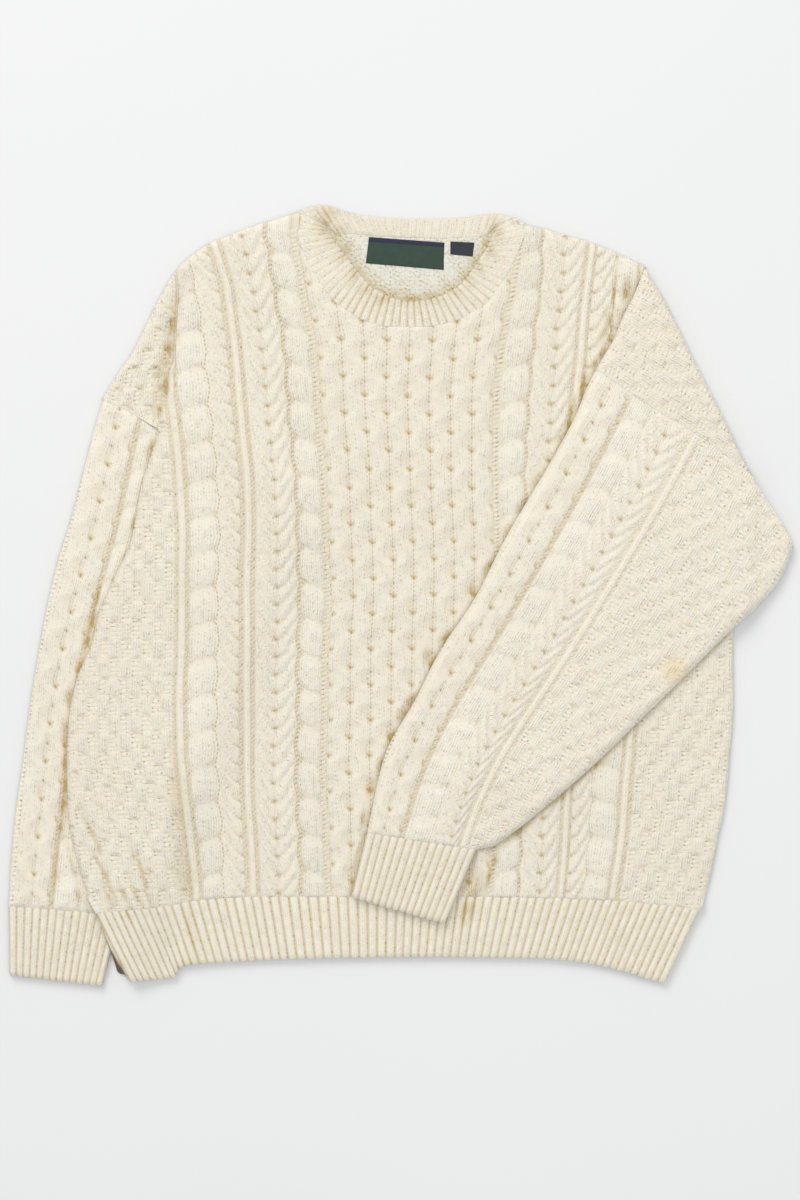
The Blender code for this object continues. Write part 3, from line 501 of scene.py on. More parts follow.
def twist(a, half, t, first, lean):
    """Four stitches twisted every four rows, so the strands run slantwise."""
    v = a / half
    w = v * lean
    p = (t - first) / TWIST + strand_curve(1.0) - strand_curve(w)
    r = p - np.floor(p)
    height = CABLE * across_cable(v) * (0.2 + 0.8 * strand(r))
    near = np.minimum(r, 1 - r)
    crack = fade(near, 0.06) * (0.05 + 0.95 * rise((w + 0.2) / 0.9))
    notch = spot(a - half * 0.93 * lean, wrapped(t - first, TWIST) * ROW, 1.4, 1.7)
    # painted shade in the cracks between the strands and in the notch at each crossing
    crevice_shade = 0.34 * crack + 0.42 * notch
    sheer = 0.3 * np.sin(2 * math.pi * r) * dome(v)
    return height - 0.7 * notch - 0.3 * crack, crevice_shade, 2 * v + sheer, t + 0.25 * w, 0.6


def plait(a, half, t, first, lean):
    """Two ropes side by side whose strands slant towards each other, meeting in points."""
    left = a < 0
    inner = np.where(left, a + half / 2, a - half / 2)
    height, crevice_shade, s, row, depth = twist(inner, half / 2, t, first, np.where(left, 1, -1))
    pit = spot(a, wrapped(t - first, TWIST) * ROW, 1.9, 1.5)
    fill = fade(a, 2.2)
    height = np.maximum(height, CABLE * 0.62 * fill)
    # painted shade in the sunk pits where the strands meet and along the ladder between them
    ladder = 0.12 * fade(a, 0.9)
    return (height - 1.2 * pit, crevice_shade * 0.6 * (1 - 0.6 * fill) + 0.65 * pit + ladder,
            s + np.where(left, -2, 2), row, depth)


def cells(a, half, t, first, lean):
    """One column of honeycomb: a front strand snakes over the one behind it. lean is how
    strong the dots between its crossings are: 1 on the body, 2 on the sleeves."""
    share = (a / half + 1) / 2
    swing = np.tanh(1.5 * np.sin((t - first - 0.45) * math.pi / 4)) / 0.905
    middle = 0.5 - 0.23 * swing
    front = np.exp(-(((share - middle) / 0.36) ** 2) * 0.9)
    behind = 0.5 * fade(share - 1 + middle, 0.36)
    height = CABLE * (0.3 + 0.7 * np.maximum(front, behind))
    on_body = lean == 1
    size, late = (1, 4.9) if on_body else (0.85, 4.0)
    strong = wing = weak = hollow_shade = 0
    # at its left edge it crosses at the first row, and at its right edge four rows later
    for edge, begin, deep, reach, tint, shade_reach in (
            (a + half, first, 1.1, 5.0, 0.3, 4.0), (a - half, first + 4, 1.3, 6.0, 1, 6.0)):
        since = (t - begin) % REPEAT
        row = wrapped(t - begin, REPEAT)
        hollow = rise((since - 4.6) / 0.9) * rise((8.2 - since) / 0.8)
        height = height - deep * hollow * fade(edge, reach)
        hollow_shade = tint * hollow * fade(edge, shade_reach) + hollow_shade
        strong = strong + spot(edge, row * ROW, 2.0 * size, 1.6 * size)
        wing = wing + spot(np.abs(edge) - 2.2, (row + 0.45) * ROW, 1.3, 1.0)
        weak = weak + lean * spot(edge, wrapped(t - begin - late, REPEAT) * ROW, 1.4, 1.2)
    # painted shade in the sunk dots where the strands cross, their wings, the weaker dots and the
    # cells' hollows
    crevice_shade = (0.95 if on_body else 1.2) * strong + 0.4 * wing + 0.42 * weak + 0.16 * hollow_shade
    knit_s = share * 4 + swing * share * (1 - share)
    return height - 0.9 * strong - 0.5 * weak, crevice_shade, knit_s, t, 0.6


def rib(a, half, t, first, lean):
    v = a / half
    return 0.4 + 1.4 * dome(v) ** 1.1, 0 * v, v / 2 + 0.5, t, 0.5


def purl(a, half, t, first, lean):
    v = a / half
    narrow = 0.22 if half < 3 else 0.12
    stitches = max(1, round(half / 2.4)) / 2
    # the gutter is painted as shade, darker when narrow
    return 0.3 * np.abs(v), narrow * lean + 0 * a, v * stitches, t + 0.3 * v, 0.0


def moss(a, half, t, first, lean):
    """Basket stitch: blocks of two stitches by four rows, raised and sunk by turns."""
    wide, tall = 9.6, REPEAT  # of a raised and a sunk block, in mm and in rows
    across = (half - lean * a + 0.9 * np.sin(t * 0.9 + a * 0.2)) / wide
    column = np.floor(across)
    late = 0.18 * column + 4 * (column % 2) + 0.7 * np.sin(column * 12.3 + np.floor(t / 8) * 7.1)
    b = (t - first - late) / tall + 0.5
    b = b - np.floor(b)
    f = across - column
    block = rise((0.29 - np.abs(b - 0.25)) / 0.12) * dome(np.clip(2 * f - 1, -1, 1) * 0.95)
    # painted shadow in a dash under each raised block, which also sinks, and in a tick beside it
    dash = spot((f - 0.5) * wide, (b - 0.5) * tall * ROW, 2.4, 0.9)
    tick = spot(wrapped(f - 0.02, 1) * wide, (b - 0.56) * tall * ROW, 0.9, 2.0)
    height = 1.1 * block - 0.5 * dash
    return (height, 0.34 * dash + 0.2 * tick, (half - lean * a) / (wide / 2), t,
            rise((height - 0.2) / 0.5))


def knitted(lanes, places, owners, t):
    """Relief, knit coordinates and marks of painted shade on a grid of rows t and column places.
    """
    rows, columns = t.shape
    relief = np.zeros((rows, columns))
    knit = np.zeros((rows, columns, 3))
    mark = np.zeros((rows, columns, 3))
    base = 0.0
    for k, lane in enumerate(lanes):
        here = np.where(owners == k)[0]
        half = (lane.end - lane.start) / 2
        a = np.tile(places[here] - lane.start - half, (rows, 1))
        height, crevice_shade, s, row, depth = lane.stitch(a, half, t[:, here], lane.first, lane.lean)
        relief[:, here] = height
        first = s[:, 0].mean()
        knit[:, here, 0] = base + s - first
        base += round((s[:, -1].mean() - first) * len(here) / max(len(here) - 1, 1))
        knit[:, here, 1] = row
        knit[:, here, 2] = depth
        after = lanes[k + 1].line if k + 1 < len(lanes) else 0
        left, right = a + half, half - a
        mark[:, here, 0] = crevice_shade
        mark[:, here, 1] = np.minimum(np.minimum(left, right), 4)
        mark[:, here, 2] = np.where(left < right, lane.line, after)
    return relief, knit, mark


def put(socket, value):
    """Sets an input, or links it to another node's output."""
    value = getattr(value, "socket", value)
    if isinstance(value, bpy.types.NodeSocket):
        socket.id_data.links.new(value, socket)
    else:
        socket.default_value = value


def made(tree, kind, inputs=(), **settings):
    """A new shader node with its settings and inputs."""
    node = tree.nodes.new("ShaderNode" + kind)
    for name, value in settings.items():
        setattr(node, name, value)
    for name, value in dict(inputs).items():
        put(node.inputs[name], value)
    return node


def operation(name, swapped=False):
    """A method of Value that adds a math node."""
    def method(self, *others):
        inputs = (*others, self) if swapped else (self, *others)
        node = made(self.socket.id_data, "Math", enumerate(inputs), operation=name)
        return Value(node.outputs[0])
    return method


class Value:
    """A shader value. Arithmetic with it adds math nodes."""

    def __init__(self, socket):
        self.socket = socket

    def clamped(self):
        self.socket.node.use_clamp = True
        return self

    __add__, __mul__, __truediv__ = operation("ADD"), operation("MULTIPLY"), operation("DIVIDE")
    __sub__, __rsub__ = operation("SUBTRACT"), operation("SUBTRACT", swapped=True)
    __mod__, __pow__, __abs__ = operation("MODULO"), operation("POWER"), operation("ABSOLUTE")
    floor, fract, cosine = operation("FLOOR"), operation("FRACT"), operation("COSINE")
    maximum, above = operation("MAXIMUM"), operation("GREATER_THAN")


def parts(tree, vector):
    return [Value(socket) for socket in made(tree, "SeparateXYZ", {0: vector}).outputs]


def hump(value, power):
    """1 at a half, down to 0 at 0 and at 1."""
    return 1.0 - abs(value * 2.0 - 1.0) ** power


def mixed(tree, share, one, two):
    """One colour with a share of another."""
    return made(tree, "Mix", {0: share, 6: one, 7: two}, data_type="RGBA").outputs[2]


def group(name, inputs, outputs):
    """A node group: its tree, the values it takes, and the sockets of what it gives."""
    tree = bpy.data.node_groups.new(name, "ShaderNodeTree")
    for label, kind, default in inputs:
        socket = tree.interface.new_socket(label, in_out="INPUT", socket_type=kind)
        if default is not None:
            socket.default_value = default
    for label, kind in outputs:
        tree.interface.new_socket(label, in_out="OUTPUT", socket_type=kind)
    take = {socket.name: Value(socket) for socket in tree.nodes.new("NodeGroupInput").outputs}
    return tree, take, tree.nodes.new("NodeGroupOutput").inputs


FLOAT, VECTOR, COLOUR = "NodeSocketFloat", "NodeSocketVector", "NodeSocketColor"


def stitch_group():
    """V stitches on the knit side, bumps on the purl side, and painted shade, from knit
    coordinates.
    """
    tree, take, give = group("knit_stitch", [("Knit", VECTOR, None), ("Mark", VECTOR, None)],
                             [("Height", FLOAT), ("Crevice Shade", FLOAT)])
    s, t, kind = parts(tree, take["Knit"])
    crevice_shade, apart, strength = parts(tree, take["Mark"])
    wander = made(tree, "TexNoise", {"Vector": take["Knit"], "Scale": 0.45, "Detail": 1.0})
    slip = Value(wander.outputs["Fac"]) - 0.5
    s = s + slip * 0.5
    t = t + slip * 0.9
    cell = made(tree, "CombineXYZ", {0: s.floor(), 1: t.floor()})
    each = Value(made(tree, "TexWhiteNoise", {"Vector": cell.outputs[0]},
                      noise_dimensions="2D").outputs["Value"])
    a = abs(s.fract() - 0.5) * 2.0  # out from the middle of a stitch
    row = hump((t + a * 0.6).fract(), 2.5)
    knit_side = hump(a, 2.5) * (row * 0.75 + 0.25)
    brick = (s + (t % 2.0).floor() * 0.5).fract()
    purl_side = hump(t.fract(), 2.0) * (hump(brick, 2.0) * 0.7 + 0.3)
    plain = (kind * 4.0).clamped()
    height = (each * 0.7 + 0.6) * (knit_side * kind + purl_side * (1.0 - plain))
    aside = (s.fract() - 0.5) * 1.15
    beyond = (t + (s.floor() % 2.0) * 0.5).fract() - 0.5
    pit = (1.0 - (aside * aside + beyond * beyond) / 0.07).clamped() * each ** 1.5
    pit = pit * (0.7 - plain * 0.35)
    put(give["Height"], height - pit)
    # dotted lines between the lanes, 1 mm to each side, painted as shade
    thin = (1.0 - apart / 1.0).clamped()
    line = thin * strength * ((t * (2 * math.pi)).cosine() * 0.5 + 0.5)
    # painted shade: darker where a stitch lies low, more on the purl side; the pits sink and are
    # shaded
    hollow = (1.1 - height) * (plain * -0.07 + 0.17)
    put(give["Crevice Shade"], ((crevice_shade + line) + (hollow + pit)).maximum(0.0))
    return tree


def fibre_group():
    """Fine fuzz of wool yarn, and slow uneven tones over the cloth."""
    tree, take, give = group("wool_fibre", [("Scale", FLOAT, 1.0)],
                             [("Height", FLOAT), ("Tone", FLOAT)])
    place = made(tree, "TexCoord").outputs["Object"]
    fuzz, slow, patch = (
        Value(made(tree, "TexNoise", {"Vector": place, "Scale": take["Scale"] * scale,
                                      "Detail": detail, "Roughness": rough}).outputs["Fac"])
        for scale, detail, rough in ((650.0, 3.0, 0.6), (14.0, 2.0, 0.5), (160.0, 2.0, 0.5)))
    put(give["Height"], fuzz + patch * 0.6)
    put(give["Tone"], slow * 0.35 + patch * 0.25 + fuzz * 0.4)
    return tree


def tint_group():
    """Yarn colour: lighter or darker by tone, with shade painted deep and warm in the crevices."""
    tree, take, give = group(
        "crevice_painted_shade",
        [("Light", COLOUR, (0.86, 0.80, 0.66, 1)), ("Warm", COLOUR, (0.78, 0.69, 0.52, 1)),
         ("Shade Colour", COLOUR, (0.40, 0.29, 0.15, 1)), ("Crevice Shade", FLOAT, 0.0), ("Tone", FLOAT, 0.5)],
        [("Color", COLOUR)])
    tone = ((take["Tone"] - 0.42) * 1.2).clamped()
    body = mixed(tree, tone, take["Light"], take["Warm"])
    # painted shade: the crevice mark mixes the yarn towards the deep tan
    shaded_yarn = mixed(tree, (take["Crevice Shade"] * 1.0).clamped(), body, take["Shade Colour"])
    # painted shadow: past 2 the crevice mark turns the colour nearly black
    painted_shadow = (take["Crevice Shade"] - 2.0).clamped()
    put(give["Color"], mixed(tree, painted_shadow, shaded_yarn, (0.13, 0.10, 0.07, 1)))
    return tree


STITCHES, FIBRE, TINT = stitch_group(), fibre_group(), tint_group()


def begun(name, settings):
    """A new material: itself, its node tree and its shader's inputs."""
    material = bpy.data.materials.new(name)
    material.use_nodes = True
    inputs = material.node_tree.nodes["Principled BSDF"].inputs
    for label, value in settings.items():
        put(inputs[label], value)
    return material, material.node_tree, inputs


def wool(name, light, warm, deep, stitch_depth=0.0006, stains=()):
    """Knitted wool. stains are (x, y, radius, strength, colour) in metres."""
    # deep is the colour of the shade painted into the crevices
    material, tree, surface = begun("detailed_" + name, {
        "Roughness": 0.92, "Sheen Weight": 0.15, "Sheen Roughness": 0.6,
        "Specular IOR Level": 0.2, "Subsurface Weight": 0.4,
        "Subsurface Radius": (1.0, 0.8, 0.5), "Subsurface Scale": 0.003})
    knit, mark = (made(tree, "Attribute", attribute_name=label).outputs["Vector"]
                  for label in ("knit", "mark"))
    stitch = made(tree, "Group", {"Knit": knit, "Mark": mark}, node_tree=STITCHES).outputs
    fibre = made(tree, "Group", node_tree=FIBRE).outputs
    tint = made(tree, "Group", node_tree=TINT, inputs={
        "Light": (*light, 1), "Warm": (*warm, 1), "Shade Colour": (*deep, 1),
        "Crevice Shade": stitch["Crevice Shade"], "Tone": fibre["Tone"]})
    colour = tint.outputs["Color"]
    place = made(tree, "TexCoord").outputs["Object"]
    for x, y, radius, strength, shade in stains:
        flat = made(tree, "VectorMath", {0: place, 1: (1, 1, 0)}, operation="MULTIPLY")
        apart = made(tree, "VectorMath", {0: flat.outputs[0], 1: (x, y, 0)},
                     operation="DISTANCE")
        rough = Value(fibre["Height"]) * (radius * 0.5)
        share = (Value(apart.outputs["Value"]) + rough) / (radius * 1.5)
        soft = ((1.0 - share).clamped() * strength).clamped()
        colour = mixed(tree, soft, colour, (*shade, 1))
    put(surface["Base Color"], colour)
    coarse = made(tree, "Bump", {"Distance": stitch_depth, "Height": stitch["Height"]})
    fine = made(tree, "Bump", {"Distance": 0.0008, "Strength": 0.6, "Height": fibre["Height"],
                               "Normal": coarse.outputs["Normal"]})
    put(surface["Normal"], fine.outputs["Normal"])
    return material


# the yarn's own colours, mixed by random tone, and the deep tan painted as shade in crevices, gaps
# and under edges
LIGHT, WARM, PAINTED_SHADE = (0.825, 0.782, 0.675), (0.67, 0.605, 0.475), (0.46, 0.34, 0.145)
STAIN = (0.78, 0.60, 0.30)
BODY_STAINS = ((0.2435, -0.067, 0.016, 0.5, STAIN), (0.0509, -0.176, 0.004, 0.6, STAIN))
wool_body = wool("wool_body", LIGHT, WARM, PAINTED_SHADE, stains=BODY_STAINS)


def square_grid(loop, pitch):
    low, high = loop.min(0) - pitch, loop.max(0) + pitch
    return np.meshgrid(np.arange(low[0], high[0], pitch), np.arange(high[1], low[1], -pitch))


LEFT_EDGE = [(x, y) for x, y in zip(SIDE_EDGE, SIDE_Y) if HEM_TOP[0][1] < y <= SEAM_Y]
left_fold = curve(LEFT_EDGE)
fold = curve(FOLD_RIGHT)
flap_edge = curve(FLAP_EDGE)
armhole_right = curve(ARMHOLE_RIGHT)
right_side = curve(SIDE_RIGHT)
armhole_left = curve(ARMHOLE_LEFT)
shoulder_left = curve(SHOULDER_LEFT)
hem_line = curve(HEM_SEAM)
BACK_NECK = ((-94, 344), (-91, 326), (-64, 323), (-50, 322), (5, 320), (70, 320), (80, 322),
             (107, 322), (110, 333))
# inside the roll of the folded shoulder
ROLL_INSET = ((218, 296), (214, 284), (250, 194), (278, 140), (300, 100), (340, 38))
back_loop = joined(
    left_fold + (3.0, 0), curve([LEFT_EDGE[-1], *ARMHOLE_LEFT[::-1]]), shoulder_left,
    np.array(BACK_NECK, float), curve(SHOULDER_RIGHT), curve(ROLL_INSET),
    curve([ROLL_INSET[-1], *UNDERARM[1:]]), right_side, curve([SIDE_RIGHT[-1], *HEM_SEAM[::-1]]),
    np.array([HEM_SEAM[0], LEFT_EDGE[0]], float))


NECK_SHADE = (
    (-69, 336, 8, 15, 10, 0.85), (-60, 324, 8, 10, 20, 0.75), (-52, 309, 5, 10, 30, 0.9),
    (-42, 290, 6, 9, 35, 0.7), (-30, 277, 6, 10, 45, 0.6), (-12, 269, 5, 14, 70, 0.75),
    (8, 266, 5, 14, 90, 0.8), (26, 268, 5, 10, 90, 0.75), (43, 275, 5, 10, 120, 0.55),
    (57, 285, 6, 9, 140, 0.6), (66, 297, 6, 9, 150, 0.6), (77, 314, 5, 10, 160, 0.75),
    (83, 328, 6, 10, 160, 0.7))


def inside_out(x, y):
    """The purl side of the back, with small uneven dips, and shade painted in them."""
    dip = np.sin(x * 1.05 + np.sin(y * 0.61)) * np.sin(y * 1.3 + np.sin(x * 0.47))
    dip = rise(dip * 1.5 - 0.35) * (0.6 + 0.4 * np.sin(x * 0.31 + y * 0.23))
    return 0.5 * (1 - dip), 0.7 * dip


shell = Shell()
# the part that shows inside the neck
window = np.array([(-84, 240), (96, 240), (96, 330), (84, 334), (71, 322.5), (37, 320.5),
                   (5, 321.5), (-29, 323.5), (-57, 325.5), (-70, 336), (-84, 324)], float)
x, y = square_grid(window, 1.4)
relief, crevice_shade = inside_out(x, y)
# painted shade under the front band's inner edge and in the neck's corners
in_front = away(x, y, curve(NECK_INNER[6:]))
shaded = np.maximum(shade(x, y, NECK_SHADE), 0.42 * fade(in_front, 8))
panel(shell, (x, y), window, [], level_at(BACK_WALL + 0.1), level_at(BACK_WALL - 0.1), relief,
      plain_knit(x, y, 0.1, 4.4), marks(crevice_shade - 0.06 + shaded))
# the whole panel in large faces, as it shows only at its edges
x, y = square_grid(back_loop, 9.0)
panel(shell, (x, y), back_loop, [], lambda x, y: BACK_WALL + lift(x, y) - 0.3, lift, 0 * x,
      plain_knit(x, y, 0.4), marks(0 * x), under_rings=ROUNDED)

# the flap: moss stitch in the direction of the shoulder
flap_loop = joined(fold, armhole_right, flap_edge)
FLAP_LANES = [Lane(-56, 108, moss, 0.0, 1)]
FLAP_COLUMN, FLAP_ROW = (0.521, 0.855), (0.855, -0.521)  # across and down its knitting
places, owners = lane_columns(FLAP_LANES)
u, v = np.meshgrid(places, np.arange(-24, 240, 2.0))
x = 173 + u * FLAP_COLUMN[0] + v * FLAP_ROW[0]
y = 202 + u * FLAP_COLUMN[1] + v * FLAP_ROW[1]
relief, knit, mark = knitted(FLAP_LANES, places, owners, v / ROW)


def flap_under(x, y):
    apart = away(x, y, fold)
    return np.where(apart < 7.5, 7.4 - 7.2 * dome(1 - np.minimum(apart, 7) / 7), UPPER_LEVEL)


panel(shell, (x, y), flap_loop,
      [(fold, 7.0, level_at(7.4)), (armhole_right, 0.5, level_at(UPPER_TOP - 0.1)),
       (flap_edge, 9.0, level_at(8.5))], level_at(UPPER_TOP), flap_under, relief * 0.7, knit, mark,
      under_rings=((1.2, 1.0), (3.5, 1.0), (7.0, 1.0), (9.0, 1.0)))
back = shell.make("knit_back", wool_body, "back")

# ---- Left sleeve ---------------------------------------------------------------------
# A knitted wool tube that lies flat down the body's side, half under it. Its cables start
# with a pair of honeycomb columns along the outer fold, then a three-strand plait.
SLEEVE_TOP = 7.0
half_up = level_at(SLEEVE_TOP / 2)
SLEEVE_END = 1.03  # where the grid ends: the share of the length, a little past the cuff's seam
SLEEVE_ROWS = 108
SLEEVE_SLIT = 0.6  # half of the air between the tube's two walls
ACROSS_WIDE = (0, 18.5, 36.5, 41.5, 62.5, 81.3, 100, 105, 110.7, 114)
ACROSS_CUFF = (0, 14.6, 30.5, 35, 59.3, 74.8, 82, 84.5, 89.5, 92.5)
SLEEVE_LANES = [
    Lane(-9, -0.5, purl, 0, 0.3), Lane(-0.5, 18.5, cells, 2, 2),
    Lane(18.5, 36.5, cells, 6, 2, 0.25), Lane(36.5, 41.5, purl, 0, 1.2, 0.3),
    Lane(41.5, 62.5, rope, 5.1, 1, 0.1), Lane(62.5, 100, plait, 0.8, 1),
    Lane(100, 105, purl, 0, 0.4), Lane(105, 110.7, rib, 0, 1, 0.15),
    Lane(110.7, 114, purl, 0, 0.4, 0.15), Lane(114, 262, moss, 0, -1),
]
SLEEVE_RELIEF = 0.75  # the right sleeve is stretched flatter
LEFT_LATE = 1.0  # rows that the left sleeve's cables run ahead of the right one's


def sleeve_grid(guide, angles, start):
    """The grid of a sleeve along its top fold, begun a little before its seam. angles are the
    directions of its rows in degrees, at even shares of its length."""
    places, owners = lane_columns(SLEEVE_LANES)
    line = curve(guide, 2)
    # in steps of 1.9 mm, with 4.1 mm to a row
    steps = round(SLEEVE_ROWS * (SLEEVE_END - start) * 4.1 / 1.9)
    along = np.linspace(start, SLEEVE_END, steps)
    reached = distances(line)
    share = reached / reached[-1]
    origin = np.stack([np.interp(along, share, line[:, k]) for k in (0, 1)], 1)
    for over, step in ((np.maximum(-along, 0), line[0] - line[6]),
                       (np.maximum(along - 1, 0), line[-1] - line[-7])):
        origin += step / np.hypot(*step) * reached[-1] * over[:, None]
    turn = np.radians(np.interp(along, np.linspace(0, 1, len(angles)), angles))
    x, y = np.empty((len(along), len(places))), np.empty((len(along), len(places)))
    for j, share in enumerate(along):
        mix = min(max(share, 0.0), 1.0)
        at = np.array(ACROSS_WIDE) * (1 - mix) + np.array(ACROSS_CUFF) * mix
        here = swayed(SLEEVE_LANES, places, share * SLEEVE_ROWS)
        reach = np.interp(here, ACROSS_WIDE, at)
        reach = np.where(here > ACROSS_WIDE[-1], at[-1] + here - ACROSS_WIDE[-1], reach)
        reach = np.where(here < 0, here, reach)
        x[j] = origin[j, 0] + math.cos(turn[j]) * reach
        y[j] = origin[j, 1] + math.sin(turn[j]) * reach
    t = np.tile((along * SLEEVE_ROWS)[:, None], (1, len(places)))
    return (x, y), t, places, owners


def cavity(shell, loop, amount, middle):
    """The inner faces of a flattened tube."""
    rim = inset(loop, amount, 3)
    inner = scattered(rim, 16, 5)
    rings = []
    for sign in (1, -1):
        def height(x, y):
            return middle(x, y) + sign * SLEEVE_SLIT
        rings.append(shell.add(np.stack([*rim.T, height(*rim.T)], 1)))
        shell.fill(rings[-1], rim, inner, height, sign < 0)
    shell.face(band(*rings))


SLEEVE_LEFT_SEAM = ((-269, 176.6), (-243, 164), (-222, 152), (-126, 97))
SLEEVE_LEFT_OUTER = ((-269, 176.6), (-277, 149), (-287, 110), (-298, 68), (-310, 30), (-321, -18),
                     (-334, -94), (-341, -148), (-347, -190), (-351, -229), (-354, -279))
SLEEVE_LEFT_HIDDEN = ((-126, 97), (-128, 45), (-148, -22), (-184, -112), (-223, -211),
                      (-253, -287))
wool_sleeve = wool("wool_sleeve", (0.845, 0.80, 0.695), (0.69, 0.625, 0.495), PAINTED_SHADE,
                   stains=((0.2435, -0.067, 0.016, 0.8, STAIN),
                           (0.256, -0.024, 0.003, 0.8, STAIN)))

left_loop = joined(curve(SLEEVE_LEFT_SEAM), curve(SLEEVE_LEFT_HIDDEN),
                   curve([SLEEVE_LEFT_HIDDEN[-1], SLEEVE_LEFT_OUTER[-1]]),
                   curve(SLEEVE_LEFT_OUTER[::-1]))
left_outer, left_hidden = curve(SLEEVE_LEFT_OUTER), curve(SLEEVE_LEFT_HIDDEN)
left_seam = curve(SLEEVE_LEFT_SEAM)
left_end = curve([SLEEVE_LEFT_HIDDEN[-1], SLEEVE_LEFT_OUTER[-1]])
grid, t, places, owners = sleeve_grid(
    ((-271, 176), (-293, 70), (-316.5, -22), (-332, -112), (-348, -279)), (-14, -13, -11, -8, -5),
    -0.12)
relief, knit, mark = knitted(SLEEVE_LANES, places, owners, t + LEFT_LATE)
mark[..., 0] *= rise((away(*grid, left_outer) - 6) / 5)
# painted shade in the hollow along the body's edge
mark[..., 0] += shade(*grid, (
    (-226, 131, 3, 9, 15, 0.9), (-232, 95, 3, 9, 15, 0.9), (-240, 65, 3, 8, 15, 0.9),
    (-248, 35, 2.5, 7, 15, 0.7), (-258, 11, 2.5, 7, 15, 0.7), (-274, -2, 2, 10, 12, 0.8),
    (-278, -24, 2.5, 12, 10, 0.95), (-282, -42, 3, 7, 10, 0.9), (-289, -64, 4, 6, 10, 0.8),
    (-299, -91, 3, 6, 8, 0.8), (-303, -118, 3, 7, 5, 0.6), (-303, -131, 3, 7, 0, 0.75),
    (-303, -150, 2.5, 8, 0, 0.6), (-302, -172, 2.5, 10, 3, 1.0), (-304, -190, 2.5, 10, 5, 1.0),
    (-306, -208, 2.5, 8, 8, 0.8), (-311, -245, 2, 25, 5, 0.45), (-296, -243, 2.2, 22, -14, 0.4),
    (-291, -268, 3, 6, -10, 0.7)))
clear_left = curve([(x, y) for x, y in zip(SIDE_EDGE, SIDE_Y) if y <= 180])


def under_body(x, y, margin=0.0):
    """Places of the left sleeve that the body lies on."""
    return (x > side(SIDE_EDGE, y) + margin) & (y < 156)


beside_body = away(*grid, clear_left)
relief = relief * np.where(under_body(*grid), 0.15, rise(beside_body / 8 + 0.45))
# painted shade where the sleeve meets the body's edge
mark[..., 0] += 0.14 * fade(beside_body, 3)
relief = relief * rise(away(*grid, left_seam) / 10 + 0.2)


def left_top(x, y):
    """The sleeve's top climbs a little to the body's edge and at the armhole."""
    armhole = 2.2 * spot(x + 229, y - 151, 11, 10)
    return SLEEVE_TOP + fade(away(x, y, clear_left), 5) + armhole


shell = Shell()
panel(shell, grid, left_loop,
      [(left_outer, 3.5, half_up), (left_hidden, 3.5, half_up),
       (left_seam, 1.6, lambda x, y: left_top(x, y) - 0.6),
       (left_end, 1.6, level_at(SLEEVE_TOP - 0.6))],
      left_top, level_at(0), relief, knit, mark,
      under_rings=ROUNDED, hidden=lambda x, y: under_body(x, y, 14))
cavity(shell, left_loop, 3.2, half_up)
sleeve_left = shell.make("knit_sleeve_left", wool_sleeve, "sleeve_left")

# ---- Left cuff -----------------------------------------------------------------------
# Rib knit in the same wool, sewn to the sleeve's end.
wool_rib = wool("wool_rib", (0.865, 0.825, 0.72), (0.825, 0.765, 0.635), PAINTED_SHADE, stitch_depth=0.0004)
RIB_HEIGHT = 1.3
RIB_STEPS, UNDER_STEP = 8, 4  # points across a rib, and how many apart they are underneath


def walked(line, shares):
    """The places at shares of a line's length."""
    reached = distances(line)
    return np.stack([np.interp(shares, reached / reached[-1], line[:, k]) for k in (0, 1)], 1)


